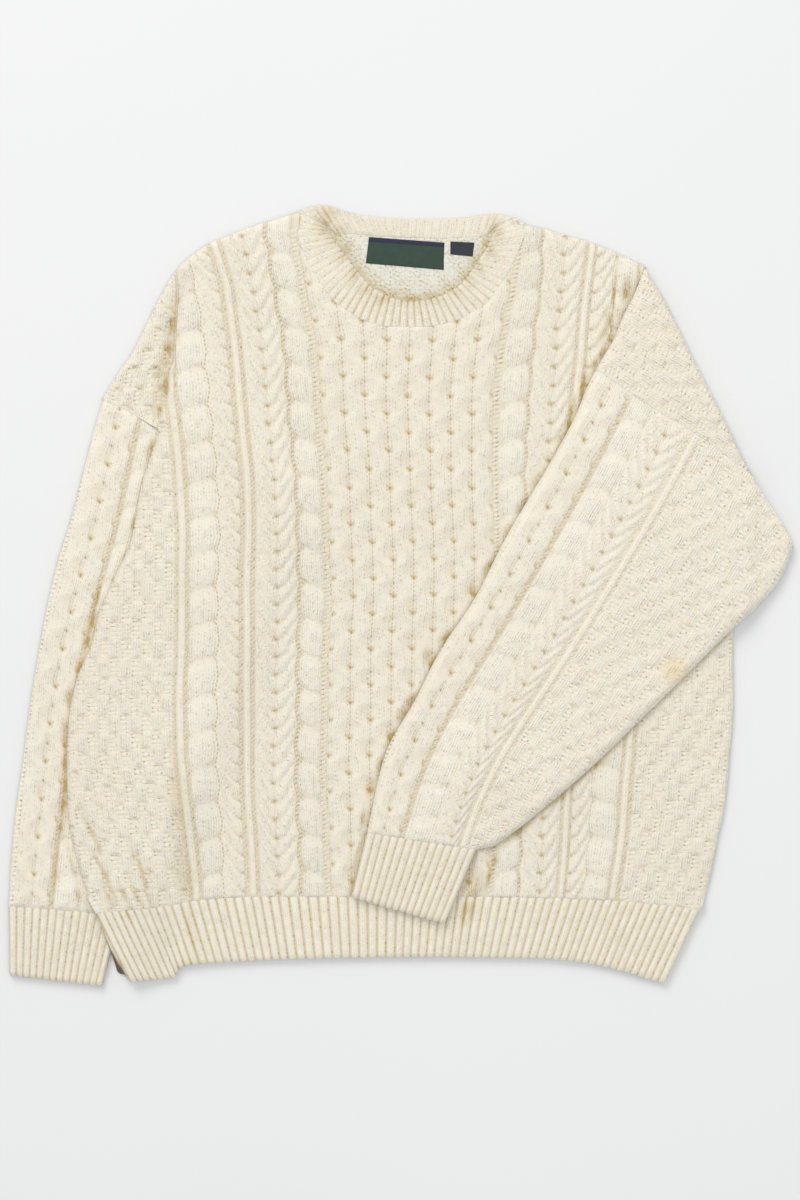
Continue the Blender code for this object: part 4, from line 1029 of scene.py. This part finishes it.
def ribbed(shell, first, last, ribs, thick, level, tan, closed=False, fold_sides=False,
           pressed=level_at(1.0), rim_out=0.8, match=None, shaded=level_at(0.0),
           pace=((0, 1), (0, 1))):
    """A band of ribs that run from the first line to the last, top and underside. match pairs
    shares of the first line with shares of the last, pace shares of the ribs with those of
    the lines' length."""
    count = ribs * RIB_STEPS + 1
    share = np.arange(count) / (count - 1)
    if closed:
        share[-1] = 1 - 1e-4
    a = walked(first, np.interp(share, *pace))
    b = walked(last, np.interp(share, *(match or pace)))
    reach = b - a
    long = np.hypot(*reach.T)
    rows = max(8, round(float(long.mean()) / 2.2))
    down = np.linspace(0, 1, rows + 1)[:, None]
    phase = share * ribs
    ridge = np.tile((np.cos(2 * math.pi * phase) * -0.5 + 0.5) ** 0.7, (rows + 1, 1))
    x, y = (a[:, k] + reach[:, k] * down
            + reach[:, k] / long * rim_out * ridge * rise(down * 8 - 7) for k in (0, 1))
    stand = RIB_HEIGHT * ridge * rise(np.minimum(down, 1 - down) * long / 4 + 0.25)
    stand = stand * pressed(x, y)
    low = level(x, y) + 0 * x
    fullness = dome(1 - np.minimum((1 - down) * long / 3.0, 1)) * 0.5 + 0.5
    under = low
    if fold_sides:
        edge = np.minimum(share, 1 - share) * np.hypot(*(a[0] - a[-1]))
        round_side = dome(1 - np.minimum(edge / 3.2, 1))
        fullness = fullness * (0.5 + 0.5 * round_side)
        under = low + thick * 0.5 * (1 - round_side)
    z = low + thick * fullness + stand * fullness
    valley = fade(wrapped(phase - 0.06, 1), 0.13)
    # painted shade: tan in the valleys between the ribs, and the shade from shaded, more in the
    # valleys
    crevice_shade = tan(x, y) * (0.62 * valley + 0.05) + shaded(x, y) * (0.45 + 0.55 * (1 - ridge))
    knit = np.stack([phase * 2 + 0.5 + 0 * x, down * long.mean() / ROW + 0 * x,
                     rise(ridge * 2.5 - 0.4)], -1)
    ids = shell.add(np.stack([x, y, z], -1).reshape(-1, 3), knit.reshape(-1, 3),
                    marks(crevice_shade).reshape(-1, 3)).reshape(x.shape)
    flat = np.stack([x, y, under], -1)[[0, 1, rows - 1, rows]][:, ::UNDER_STEP]
    flat[0, :, 2] += 0.02  # just clear of the panel that it is sewn to
    below = shell.add(flat.reshape(-1, 3)).reshape(4, -1)
    flip = clockwise(*np.stack([x, y], -1)[[0, 1, 0], [0, 0, 1]])
    for block, turn in ((ids, flip), (below, not flip)):
        if closed:
            block = np.concatenate([block, block[:, :1]], 1)
        shell.face(quads_of(block).reshape(-1, 4), turn)
    # rims between the fine upper edge and the coarse lower one
    for upper, lower, turn in ((ids[0], below[0], flip), (ids[-1], below[-1], not flip)):
        faces = [[lower[k], *upper[k * UNDER_STEP:(k + 1) * UNDER_STEP + 1], lower[k + 1]]
                 for k in range(len(lower) - 1)]
        if closed:
            faces.append([lower[-1], upper[-1], upper[0], lower[0]])
        shell.face(faces, turn)
    if closed:
        shell.rims += [ids[0], ids[-1]]
    else:
        shell.rims.append(border(ids))
        shell.face([[*below[::-1, 0], *ids[:, 0]]], not flip)
        shell.face([[*below[::-1, -1], *ids[:, -1]]], flip)
    return x, y


def cuff(name, node, first, last, level, middle, **more):
    shell = Shell()
    at = np.stack(ribbed(shell, first, last, 14, 6.4, level, level_at(0.9), fold_sides=True,
                         **more), -1)
    loop = np.vstack([at[0, ::4], at[1:-1:3, -1], at[-1, ::-4], at[-2:1:-3, 0]])
    cavity(shell, loop, 3.4, middle)
    return shell.make(name, wool_rib, node)


cuff_left = cuff("knit_cuff_left", "cuff_left",
                 curve([(-354, -278), (-253, -286)]), curve([(-353, -341), (-270, -351)]),
                 level_at(0), level_at(3.2),
                 pressed=lambda x, y: rise((side(SIDE_EDGE, y) - 2 - x) / 5))

# ---- Front panel ---------------------------------------------------------------------
# The upper half of the body, one knitted wool panel sewn in at the shoulders, armholes and
# hem. Honeycomb runs down its middle, with ropes, plaits and narrow ribs at both sides.
WALES_Y = (-280, -211, -145, -76, -4, 50, 115, 176, 200, 212, 230, 275, 320)
WALES_AT = (-205.5, -191.8, -166.5, -139.5, -114, -94.3, -67.5, 86, 112, 130, 150.7, 180, 207.5)
# the narrow rib at the left comes out from under the shoulder's rope at y = 200
WALES = (
    (-190.5, -178, -161.5, -133, -110.5, -89, -64, 79, 103, 122, 140, 162, 186),
    (-196.5, -183, -161.7, -135.5, -113, -91.7, -67.2, 82, 107, 125, 145, 168, 196),
    (-204, -190.5, -166, -138.8, -116, -94.3, -70, 84, 108, 127, 149, 174, 203),
    (-205.7, -192, -166.2, -138.8, -113.7, -93.2, -68.5, 84.5, 109.5, 128.5, 149.5, 177, 205),
    (-203, -189.5, -165, -138.4, -111.9, -91, -65, 85, 111, 130, 150, 180, 207),
    (-202.5, -189, -163.4, -136.8, -111.8, -92.3, -67.2, 84.5, 111, 130.5, 150.5, 181, 208.5),
    (-206, -192, -166.6, -139, -116.1, -96, -70.5, 84, 111, 131, 151, 182, 210),
    (-214, -200, -173.2, -145.2, -121.5, -101.5, -74.2, 83.5, 113, 133, 153, 185, 213),
    (-210, -202, -174.5, -147, -123.5, -103, -76, 86, 115, 135, 156, 185.5, 213),
    (-204.5, -202, -175.5, -148, -125, -104, -77.5, 88, 117, 136.5, 158.5, 186, 213.5),
    (-204, -202.3, -176.7, -149.5, -126.8, -105.3, -79.5, 90.5, 118.5, 138, 160, 187, 214),
    (-203, -201, -186, -156.5, -135, -114.5, -88, 100, 125, 143, 165, 190, 215),
    (-208, -206, -196, -171, -144, -122, -97, 108, 126, 146, 170, 192, 216),
)
# rows of knitting counted from the middle, at these heights
ROWS_Y = (-330, -274, -128, -64, -32, -0.5, 31.5, 63.5, 95.7, 129.4, 162.5, 195.5, 229.2, 330)
ROWS_T = (82.5, 68, 32, 16, 8, 0, -8, -16, -24, -32, -40, -48, -56, -80)
CELL_AT, CELL = -64.4, 18.46  # where the honeycomb begins, and the width of a column
RIB_AT, ROPE_AT = -205.5, -191.8  # where the rib at the left and the rope beside it begin
FRONT_LANES = [
    Lane(-312, -205.5, moss, 1.3, 1), Lane(-205.5, -201.5, purl, 0, 1),
    Lane(-201.5, -195.8, rib, 0, 1), Lane(-195.8, -191.8, purl, 0, 1, 0.1),
    Lane(-191.8, -167, rope, 6, 1, 0.45, -0.8, 7.0),
    Lane(-167, -147, twist, 1.8, 1, 0.85, 1.5, 6.0), Lane(-147, -142.3, purl, 0, 1, 0.1),
    Lane(-142.3, -136.7, rib, 0, 1, 0.1), Lane(-136.7, -132.2, purl, 0, 1, 0.15),
    Lane(-132.2, -96.2, plait, 2, 1, 0.2), Lane(-96.2, -92.8, purl, 0, 1, 0.4, -1.3, 5.3),
    Lane(-92.8, -72.5, rope, 5.3, -1, 0.3, -1.3, 5.3),
    Lane(-72.5, -64.4, purl, 0, 1, 0.1, 0.6, 6.5),
    *[Lane(CELL_AT + CELL * k, CELL_AT + CELL * (k + 1), cells, 4 * ((k + 1) % 2), 1,
           0.1 if k == 0 else 0.6) for k in range(8)],
    Lane(83.28, 90, purl, 0, 1, 0.1), Lane(90, 110.2, rope, 5.2, 1, 0.1, -0.6, 6.4),
    Lane(110.2, 113.4, purl, 0, 1, 0.1, 1.3, 5.2), Lane(113.4, 146.4, plait, 1.8, 1, 0.1,
                                                       1.3, 5.2),
    Lane(146.4, 149.9, purl, 0, 1, 0.1), Lane(149.9, 155.5, rib, 0, 1, 0.1),
    Lane(155.5, 159, purl, 0, 1, 0.1), Lane(159, 179, twist, 1.8, -1),
    Lane(179, 202.5, rope, 6, -1, 0.5, -1.5, 6), Lane(202.5, 206, purl, 0, 1, 0.1, 0.5, 7),
    Lane(206, 211.5, rib, 0, 1, 0.1), Lane(211.5, 216, purl, 0, 1, 0.1),
    Lane(216, 316, moss, 1.3, -1),
]
front_neck = curve(NECK_OUTER[9:] + NECK_OUTER[:1])
NECK_MIDDLE = np.array((7, 296))
front_neck = NECK_MIDDLE + (front_neck - NECK_MIDDLE) * 0.985  # runs on a little under the band
FRONT_HIDDEN_EDGE = ((218, 296), (219.5, 289), (223, 278), (228, 264), (237, 240), (256, 205),
                     (281, 150), (300, 100), (299, 60), (297, -20), (300, -20))
SIDE_RADIUS = 8.0
front_loop = joined(
    left_fold, curve([LEFT_EDGE[-1], *ARMHOLE_LEFT[::-1]]), shoulder_left,
    front_neck[::-1], curve(SHOULDER_RIGHT), np.array(FRONT_HIDDEN_EDGE, float), right_side,
    curve([SIDE_RIGHT[-1], *HEM_SEAM[::-1]]), np.array([HEM_SEAM[0], LEFT_EDGE[0]], float))

SLEEVE_RIGHT_SEAM = ((173.4, 203.2), (226.6, 167.2), (263.6, 145.2), (298.6, 120), (315.4, 104.6))
SLEEVE_RIGHT_SIDE = ((315.4, 104.6), (327, 86), (339, 68), (348, 52), (351, 43))
SLEEVE_RIGHT_UPPER = ((173.4, 203.2), (166, 188), (158, 168), (150, 151), (134, 122), (115, 90),
                      (91, 49), (65, -2), (34, -49), (11, -94), (-15, -141), (-32, -213))
SLEEVE_RIGHT_UNDER = ((351, 43), (339, 14), (321, -8), (293, -33), (256, -70), (211, -114),
                      (176, -148), (128, -190), (83, -224), (66, -228))
CUFF_RIGHT_UPPER = ((-33, -213), (-40, -234), (-46, -270))
CUFF_RIGHT_UNDER = ((67, -228), (56, -262), (38, -294))
covered = joined(curve(SLEEVE_RIGHT_UPPER), curve([(-32, -213), *CUFF_RIGHT_UPPER[1:]]),
                 np.array([(-46, -270), (38, -294)], float), curve(CUFF_RIGHT_UNDER[::-1]),
                 curve(SLEEVE_RIGHT_UNDER[::-1]), np.array([(351, 43), (360, 60), (360, 300),
                                                           (218, 296)], float),
                 flap_edge[::-1])


def front_top(x, y):
    return FRONT_TOP + lift(x, y) + creases(x, y, FRONT_FOLDS)


# soft creases laid in one by one: points, width and depth
FRONT_FOLDS = (
    (((-205, 262), (-214, 215), (-219, 170), (-214, 120)), 6, 1.6),
    (((-180, -200), (-215, -120), (-235, -40)), 14, -0.8),
    (((-250, -250), (-225, -190), (-205, -130)), 12, 0.9),
    (((-120, -262), (-60, -230), (-20, -236)), 16, 0.6),
    (((110, -262), (170, -220), (230, -190)), 14, 0.8),
    (((180, -256), (215, -236), (262, -222)), 10, -0.7),
    (((-150, 290), (-120, 250), (-95, 200)), 16, 0.6),
    (((130, 310), (120, 260), (105, 215)), 14, 0.6),
)
FRONT_SHADE = (
    # beside the left shoulder's rope
    (-202, 264, 3, 8, 10, 0.5), (-206.5, 243, 3.6, 11, 10, 1.3), (-210, 221, 4.5, 10, 12, 1.2),
    (-211, 215, 6, 50, 10, 0.55), (-213, 187, 3.4, 7.5, 5, 1.3), (-218, 166, 3, 7, 5, 1.0),
    (-221, 198, 3, 5, 0, 0.5),
    # right of the right shoulder's rope, and along the flap
    (189, 262, 1.6, 32, 5, 0.85), (201, 272, 4.2, 11, 5, 1.0), (183, 242, 4, 14, 10, 0.5),
    (196, 255, 4, 12, 18, 0.4),
    (187, 246, 2.4, 8, 5, 0.9), (186, 230, 3.5, 4.5, 10, 1.0), (181, 233, 6, 10, 15, 0.4),
    (180, 217, 3.5, 5.5, 30, 0.9), (172, 207, 3, 6, 20, 0.7), (162.5, 189, 2.4, 12, 10, 1.0),
    (152, 166, 2.2, 12, 15, 0.95), (149, 154, 3.5, 5, 35, 0.9), (143, 144, 3, 8, 32, 0.6),
    # along the folded sleeve's upper edge
    (120, 104, 3, 7, 30, 0.5), (107, 82, 3, 7, 30, 0.6), (94, 60, 3, 7, 30, 0.55),
    (76, 25, 3, 9, 35, 0.8), (62, 5, 3.5, 5, 30, 0.8), (40, -38, 5, 6.5, 40, 0.95),
    (28, -60, 3.5, 6, 30, 0.95), (22, -54, 4, 6, 0, 0.5), (7, -94, 3, 8, 45, 0.9),
    (0, -106, 4, 7, 30, 0.9), (-10, -126, 4, 7, 30, 0.7), (-19, -152, 3.5, 8, 20, 0.8),
    (-29, -172, 3, 7, 20, 0.7), (-36, -202, 2.5, 8, 10, 0.6),
    # under its lower edge and its cuff
    (83, -238, 3, 5, 20, 0.9), (78, -250, 2.4, 10, 15, 0.9), (64, -265, 6, 17, 18, 0.6),
    (104, -212, 4, 16, 50, 0.5), (140, -182, 4, 18, 52, 0.35), (176, -152, 4, 18, 50, 0.35),
    # beside the left rib, and creases towards the hem
    (-202, -190, 6.5, 42, -4, 0.3), (-196, -250, 6.5, 30, -8, 0.36),
    (-227, -249, 1.6, 6, -5, 0.5), (-278, -212, 2.2, 18, -28, 0.5),
    (-264, -256, 2.2, 24, -24, 0.6), (-272, -225, 2.4, 8, -20, 0.55),
    (-263, -268, 2.4, 12, -24, 0.6), (-232, -252, 2.4, 22, -16, 0.7),
    (-241, -233, 2.4, 8, -20, 0.45),
    (-249, -268, 2.4, 10, -24, 0.55), (-238, -268, 2.4, 14, -26, 0.5))
places, owners = lane_columns(FRONT_LANES)
down = np.arange(350, -292, -1.95)
x, y = np.meshgrid(places, down)
for j, level in enumerate(down):
    at = [np.interp(level, WALES_Y, wale) for wale in zip(*WALES)]
    here = swayed(FRONT_LANES, places, np.interp(level, ROWS_Y, ROWS_T))
    inner = np.interp(here, WALES_AT, at)
    inner = np.where(here < WALES_AT[0], at[0] + here - WALES_AT[0], inner)
    x[j] = np.where(here > WALES_AT[-1], at[-1] + here - WALES_AT[-1], inner)
x = x + 0.5 * np.sin(y / 31 + x / 70) + 0.35 * np.sin(y / 17 - x / 45)
y = y + 0.6 * np.sin(x / 38 + y / 55) + 0.4 * np.sin(x / 21 - y / 80)
t = np.interp(np.tile(down[:, None], (1, len(places))), ROWS_Y, ROWS_T)
relief, knit, mark = knitted(FRONT_LANES, places, owners, t)
# rougher moss by the left shoulder, with stronger painted shade
rough = 1 + 1.6 * spot(x + 234, y - 210, 26, 60)
relief *= np.where(places < RIB_AT, (0.6 + 0.4 * rough) * rise((RIB_AT - places) / 4), 1)
mark[..., 0] *= np.where(places < RIB_AT, rough, 1)
squeezed = (places > RIB_AT) & (places < ROPE_AT)
rope_edge = x[:, places >= ROPE_AT][:, :1]
shown = rise((rope_edge - x[:, places >= RIB_AT][:, :1] - 3) / 8)
relief[:, squeezed] *= shown
knit[:, squeezed, 2] = 0.25 + (knit[:, squeezed, 2] - 0.25) * shown
relief *= np.where(x >= rope_edge, shown + (1 - shown) * rise((x - rope_edge) / 7), 1)
covered_line, front_closed = looped(covered), looped(front_loop)
inside_cover = within(x, y, covered)
apart = away(x, y, covered_line)
# painted shade beside edges, along the folded sleeve's outline and along the left fold
mark[..., 0] += shade(x, y, FRONT_SHADE) + 0.3 * fade(apart, 2.5)
mark[..., 0] += 0.14 * fade(away(x, y, left_fold), 4)
relief = np.where(inside_cover, np.minimum(relief, 1.0) * rise(1 - apart / 6), relief
                  * rise(apart / 7 + 0.3))


def deep_under(px, py):
    """Places far enough under the folded sleeve to be out of sight."""
    deep = within(px, py, covered)
    deep[deep] = away(px[deep], py[deep], covered_line) > 13
    return deep & (away(px, py, front_closed) > 7)


def side_edge(x, y):
    """The body's left side wraps down round the back's edge."""
    return np.maximum(lift(x, y) - 1.0, 0.4)


def front_under(x, y):
    near = side_edge(x, y)
    share = dome(1 - np.minimum(away(x, y, left_fold) / (2 * SIDE_RADIUS), 1))
    over_sleeve = spot(x + 224, y - 171, 16, 16)
    return near + (FRONT_LEVEL + lift(x, y) - near) * share - 1.6 * over_sleeve


front_edge, front_seam = lifted(FRONT_LEVEL + 0.1), lifted(FRONT_TOP - 0.3)
shell = Shell()
panel(shell, (x, y), front_loop,
      [(left_fold, SIDE_RADIUS, side_edge), (right_side, 4.0, front_edge),
       (front_neck, 0.5, lifted(FRONT_TOP - 0.1)),
       (shoulder_left, 3.0, front_edge), (curve(SHOULDER_RIGHT), 3.0, front_edge),
       (armhole_left, 0.8, front_seam), (hem_line, 0.8, front_seam)],
      front_top, front_under, relief, knit, mark, hidden=deep_under, plain=lifted(FRONT_TOP))
front = shell.make("knit_front", wool_body, "front")

# ---- Hem bands -----------------------------------------------------------------------
# Rib knit in wool, sewn to the lower edge of the front and of the back.
hem_upper = curve(HEM_TOP)
# the back hem's left corner runs out past the front one's, to carry a painted shadow
hem_lower, hem_back_lower = (
    np.vstack([curve([*corner, (-205, -343)])[:-1], curve(HEM_BOTTOM[1:])])
    for corner in (((-244, -346),), ((-256, -339), (-232, -345))))


def hem(name, node, lower, level, pressed, wall, shaded):
    shell = Shell()
    ribbed(shell, hem_upper, lower, 70, wall, level, level_at(0.9), pressed=pressed,
           shaded=shaded, pace=((0, 0.14, 0.313, 0.488, 0.784, 1), (0, 0.12, 0.3, 0.5, 0.8, 1)))
    return shell.make(name, wool_rib, node)


def beyond_front(x, y):
    """Where the back hem shows past the front one's left end."""
    return 1 - rise(1 + (x - side(SIDE_EDGE, y)) / 5)


def hem_pressed(x, y):
    apart = away(x, y, covered_line)
    return np.where(within(x, y, covered), 0.4, 0.4 + 0.6 * rise(apart / 6))


HEM_SHADE = ((58, -283, 6, 12, 20, 0.8), (-247, -286, 5, 8, -25, 0.4),
             (-190, -300, 5, 30, -10, 0.3), (-195, -335, 8, 8, 0, 0.4))
# past the front hem's left end the back hem is painted nearly black as the shadow in the gap by
# the left cuff
hem_back = hem("knit_hem_back", "hem_back", hem_back_lower,
               lambda x, y: lift(x, y) * (1 - beyond_front(x, y)), level_at(0), 2.6,
               lambda x, y: 8 * beyond_front(x, y))
hem_front = hem("knit_hem_front", "hem_front", hem_lower, lifted(FRONT_LEVEL),
                hem_pressed, 2.8, lambda x, y: shade(x, y, HEM_SHADE))

# ---- Neckband ------------------------------------------------------------------------
# One ring of rib knit, picked up round the neck; its back half lies inner face up.


def neck_level(x, y):
    climb = np.clip((340 + 8 * rise((np.abs(x - 8) - 75) / 20) - y) / 26, 0, 1)
    sideways = np.clip((np.abs(x - 8) - 60) / 12, 0, 1)
    return np.where(y < 316, FRONT_LEVEL, FRONT_LEVEL * rise(climb) * rise(sideways))


shell = Shell()
outer_ring, inner_ring = (looped(curve(ring, closed=True)) for ring in (NECK_OUTER, NECK_INNER))
RING_PAIRS = (((5, 338), (5, 320)), ((74, 342), (70, 321)), ((100, 338), (83, 331)),
              ((104, 309), (74, 309)), ((78, 265), (57, 284)), ((5, 241), (5, 264)),
              ((-59, 262), (-39, 288)), ((-94, 324), (-65, 325)))


def share_at(line, place):
    """The share of a line's length at which it is nearest to a place."""
    reached = distances(line)
    return reached[((line - place) ** 2).sum(1).argmin()] / reached[-1]


match = ([0.0] + [share_at(outer_ring, one) for one, _ in RING_PAIRS] + [1.0],
         [0.0] + [share_at(inner_ring, two) for _, two in RING_PAIRS] + [1.0])
# painted shade: tan in the rib valleys, strongest at the front's bottom, and in the corners and
# under the inner edge
ribbed(shell, outer_ring, inner_ring, 72, 3.2, neck_level,
       lambda x, y: 0.65 * (0.25 + 0.75 * rise((292 - y) / 35)), closed=True, rim_out=0.5,
       match=match, shaded=lambda x, y: shade(x, y, NECK_SHADE) + 0.1,
       pressed=lambda x, y: 0.1 + 0.38 * rise((285 - y) / 30))
neckband = shell.make("knit_neckband", wool_rib, "neckband")

# ---- Labels --------------------------------------------------------------------------
# Two small woven labels sewn inside the back of the neck, both left plain.


def woven(name, base, stripe_from, stripe):
    """Woven tape of a base colour, with a stripe of another along its upper edge."""
    material, tree, surface = begun("detailed_" + name, {"Roughness": 0.6, "Sheen Weight": 0.1})
    place = made(tree, "TexCoord").outputs["Object"]
    warp, weft = (Value(made(tree, "TexWave", {"Vector": place, "Scale": scale,
                                               "Distortion": 0.6},
                             bands_direction=axis).outputs["Fac"])
                  for axis, scale in (("X", 420.0), ("Y", 620.0)))
    weave = warp * weft
    noise = made(tree, "TexNoise", {"Vector": place, "Scale": 220.0})
    share = weave * 0.5 + Value(noise.outputs["Fac"]) * 0.4
    body = mixed(tree, share, (*base, 1), (*[c * 2.2 + 0.01 for c in base], 1))
    x, y, _ = parts(tree, place)
    upper = (y + x * 0.074).above(stripe_from)
    put(surface["Base Color"], mixed(tree, upper, body, (*stripe, 1)))
    bump = made(tree, "Bump", {"Distance": 0.0002, "Height": weave})
    put(surface["Normal"], bump.outputs["Normal"])
    return material


def label(name, node, corners, material):
    """A woven strip with soft waves and folded ends."""
    shell = Shell()
    a, b, c, d = (np.array(p, float) for p in corners)
    s, r = np.meshgrid(np.linspace(0, 1, 41), np.linspace(0, 1, 21))
    x, y = ((a[k] * (1 - s) + b[k] * s) * (1 - r) + (d[k] * (1 - s) + c[k] * s) * r
            for k in (0, 1))
    z = 4.5 + 0.25 * np.sin(9 * s + 2 * r) * np.sin(math.pi * r) + 0.35 * rise(1 - r * 5)
    edge = np.minimum(np.minimum(s, 1 - s) * 8, np.minimum(r, 1 - r) * 5)
    top = np.stack([x, y, z + 0.45 * dome(1 - np.minimum(edge, 1))], -1)
    low = np.stack([x, y, z - 0.12], -1)
    one = shell.add(top.reshape(-1, 3)).reshape(s.shape)
    two = shell.add(low.reshape(-1, 3)).reshape(s.shape)
    shell.face(quads_of(one).reshape(-1, 4))
    shell.face(quads_of(two).reshape(-1, 4), turn=True)
    shell.face(band(border(one), border(two)))
    return shell.make(name, material, node)


label_green = woven("label_green", (0.012, 0.035, 0.022), 0.3155, (0.010, 0.014, 0.040))
label_black = woven("label_black", (0.012, 0.013, 0.020), 0.5, (0.01, 0.01, 0.012))
label_main = label("woven_label_main", "label_main",
                   ((-30, 322), (37.5, 317), (37, 292.5), (-33, 298.5)), label_green)
label_care = label("woven_label_care", "label_care",
                   ((43, 318), (64.5, 317), (63, 304.5), (43, 306.5)), label_black)

# ---- Right sleeve --------------------------------------------------------------------
# The same knitted tube as the left one, folded forward with the shoulder across the front.
SLEEVE_MIDDLE = 11.6
right_upper, right_under = curve(SLEEVE_RIGHT_UPPER), curve(SLEEVE_RIGHT_UNDER)
right_seam = curve(SLEEVE_RIGHT_SEAM)
right_end = curve([SLEEVE_RIGHT_UNDER[-1], SLEEVE_RIGHT_UPPER[-1]])
right_side_fold = curve(SLEEVE_RIGHT_SIDE)
right_loop = joined(right_seam, right_side_fold, right_under, right_end, right_upper[::-1])


def sag(x, y):
    """Past the body's side the sleeve sinks towards the back's turned-up edge."""
    return 4.0 * rise((x - 306) / 24) * rise((112 - y) / 30)


RIGHT_FOLDS = (
    (((200, 150), (150, 60), (100, -30)), 22, -0.5),
    (((300, 60), (240, -10), (170, -90)), 16, 0.7),
    (((330, 40), (290, 10), (250, -30)), 9, 0.7),
    (((60, -40), (30, -110), (5, -180)), 12, 0.5),
    (((90, -120), (60, -170), (35, -215)), 10, -0.5),
)


def right_top(x, y):
    return UPPER_TOP - sag(x, y) + creases(x, y, RIGHT_FOLDS)


def right_middle(x, y):
    return SLEEVE_MIDDLE - sag(x, y)


grid, t, places, owners = sleeve_grid(
    ((173, 202), (134, 123), (65, -2), (11, -94), (-14, -150), (-33, -213)),
    (-30, -29, -28, -28, -25, -10), -0.2)
relief, knit, mark = knitted(SLEEVE_LANES, places, owners, t)
near_seam = away(*grid, right_seam)
relief = relief * SLEEVE_RELIEF * rise(near_seam / 14 + 0.2)
near_fold = away(*grid, right_upper)
mark[..., 0] *= rise(near_seam / 12) * rise((near_fold - 3) / 5)
# painted shade along the sleeve's upper fold
mark[..., 0] += 0.15 * fade(near_fold, 2)
shell = Shell()
panel(shell, grid, right_loop,
      [(right_upper, 8.0, lambda x, y: right_middle(x, y) - 3.0),
       (right_under, 8.0, lambda x, y: right_middle(x, y) - 3.0),
       (right_side_fold, 3.8, right_middle),
       (right_seam, 0.5, lambda x, y: UPPER_TOP - 0.25 - sag(x, y)),
       (right_end, 1.6, lambda x, y: UPPER_TOP - 0.6 - sag(x, y))],
      right_top, lambda x, y: UPPER_LEVEL - sag(x, y), relief, knit, mark,
      under_rings=ROUNDED)
cavity(shell, right_loop, 3.2, right_middle)
sleeve_right = shell.make("knit_sleeve_right", wool_sleeve, "sleeve_right")

# ---- Right cuff ----------------------------------------------------------------------
# Rib knit like the left cuff, lying on the front.
cuff_right = cuff("knit_cuff_right", "cuff_right",
                  curve([(-32, -212), (66, -227)]), curve([(-46, -270), (38, -294)]),
                  level_at(UPPER_LEVEL), level_at(UPPER_LEVEL + 3.2))

# ---- Floor, lights and camera --------------------------------------------------------
# A plain pale floor under soft light from above, a little from the upper left.
mesh = bpy.data.meshes.new("floor")
mesh.from_pydata([(-3, -3, 0), (3, -3, 0), (3, 3, 0), (-3, 3, 0)], [], [(0, 1, 2, 3)])
floor = placed("floor", mesh)
paper, tree, surface = begun("pale_floor", {"Roughness": 0.9, "Specular IOR Level": 0.1})
place = made(tree, "TexCoord").outputs["Object"]
noise = made(tree, "TexNoise", {"Vector": place, "Scale": 2.0})
put(surface["Base Color"], mixed(tree, noise.outputs["Fac"], (0.735, 0.74, 0.74, 1),
                                 (0.76, 0.76, 0.755, 1)))
mesh.materials.append(paper)

world = bpy.data.worlds.new("soft_room")
bpy.context.scene.world = world
world.use_nodes = True
sky = world.node_tree.nodes["Background"].inputs
put(sky["Color"], (0.97, 0.98, 1.0, 1))
put(sky["Strength"], 0.62)


def softbox(name, place, size, power, colour):
    light = bpy.data.lights.new(name, "AREA")
    light.shape = "RECTANGLE"
    light.size, light.size_y = size
    light.energy = power
    light.color = colour
    lamp = placed(name, light)
    lamp.location = place
    lamp.rotation_mode = "QUATERNION"
    lamp.rotation_quaternion = (Vector((0, 0, 0)) - Vector(place)).to_track_quat("-Z", "Y")


softbox("window", (-1.5, 3.4, 3.0), (2.0, 2.0), 105, (1.0, 0.985, 0.96))
softbox("overhead", (0.4, -0.2, 2.9), (2.4, 2.4), 30, (1.0, 1.0, 1.0))

CAMERA_HEIGHT, SEEN, SENSOR = 2.5, 1.08, 36  # metres, metres of floor down the view, and mm
camera_data = bpy.data.cameras.new("camera")
camera_data.lens = SENSOR * CAMERA_HEIGHT / SEEN
camera_data.sensor_width = SENSOR
camera = placed("camera", camera_data)
camera.location = (-0.00225, -0.00405, CAMERA_HEIGHT)
bpy.context.scene.camera = camera
bpy.context.scene.view_settings.view_transform = "Standard"
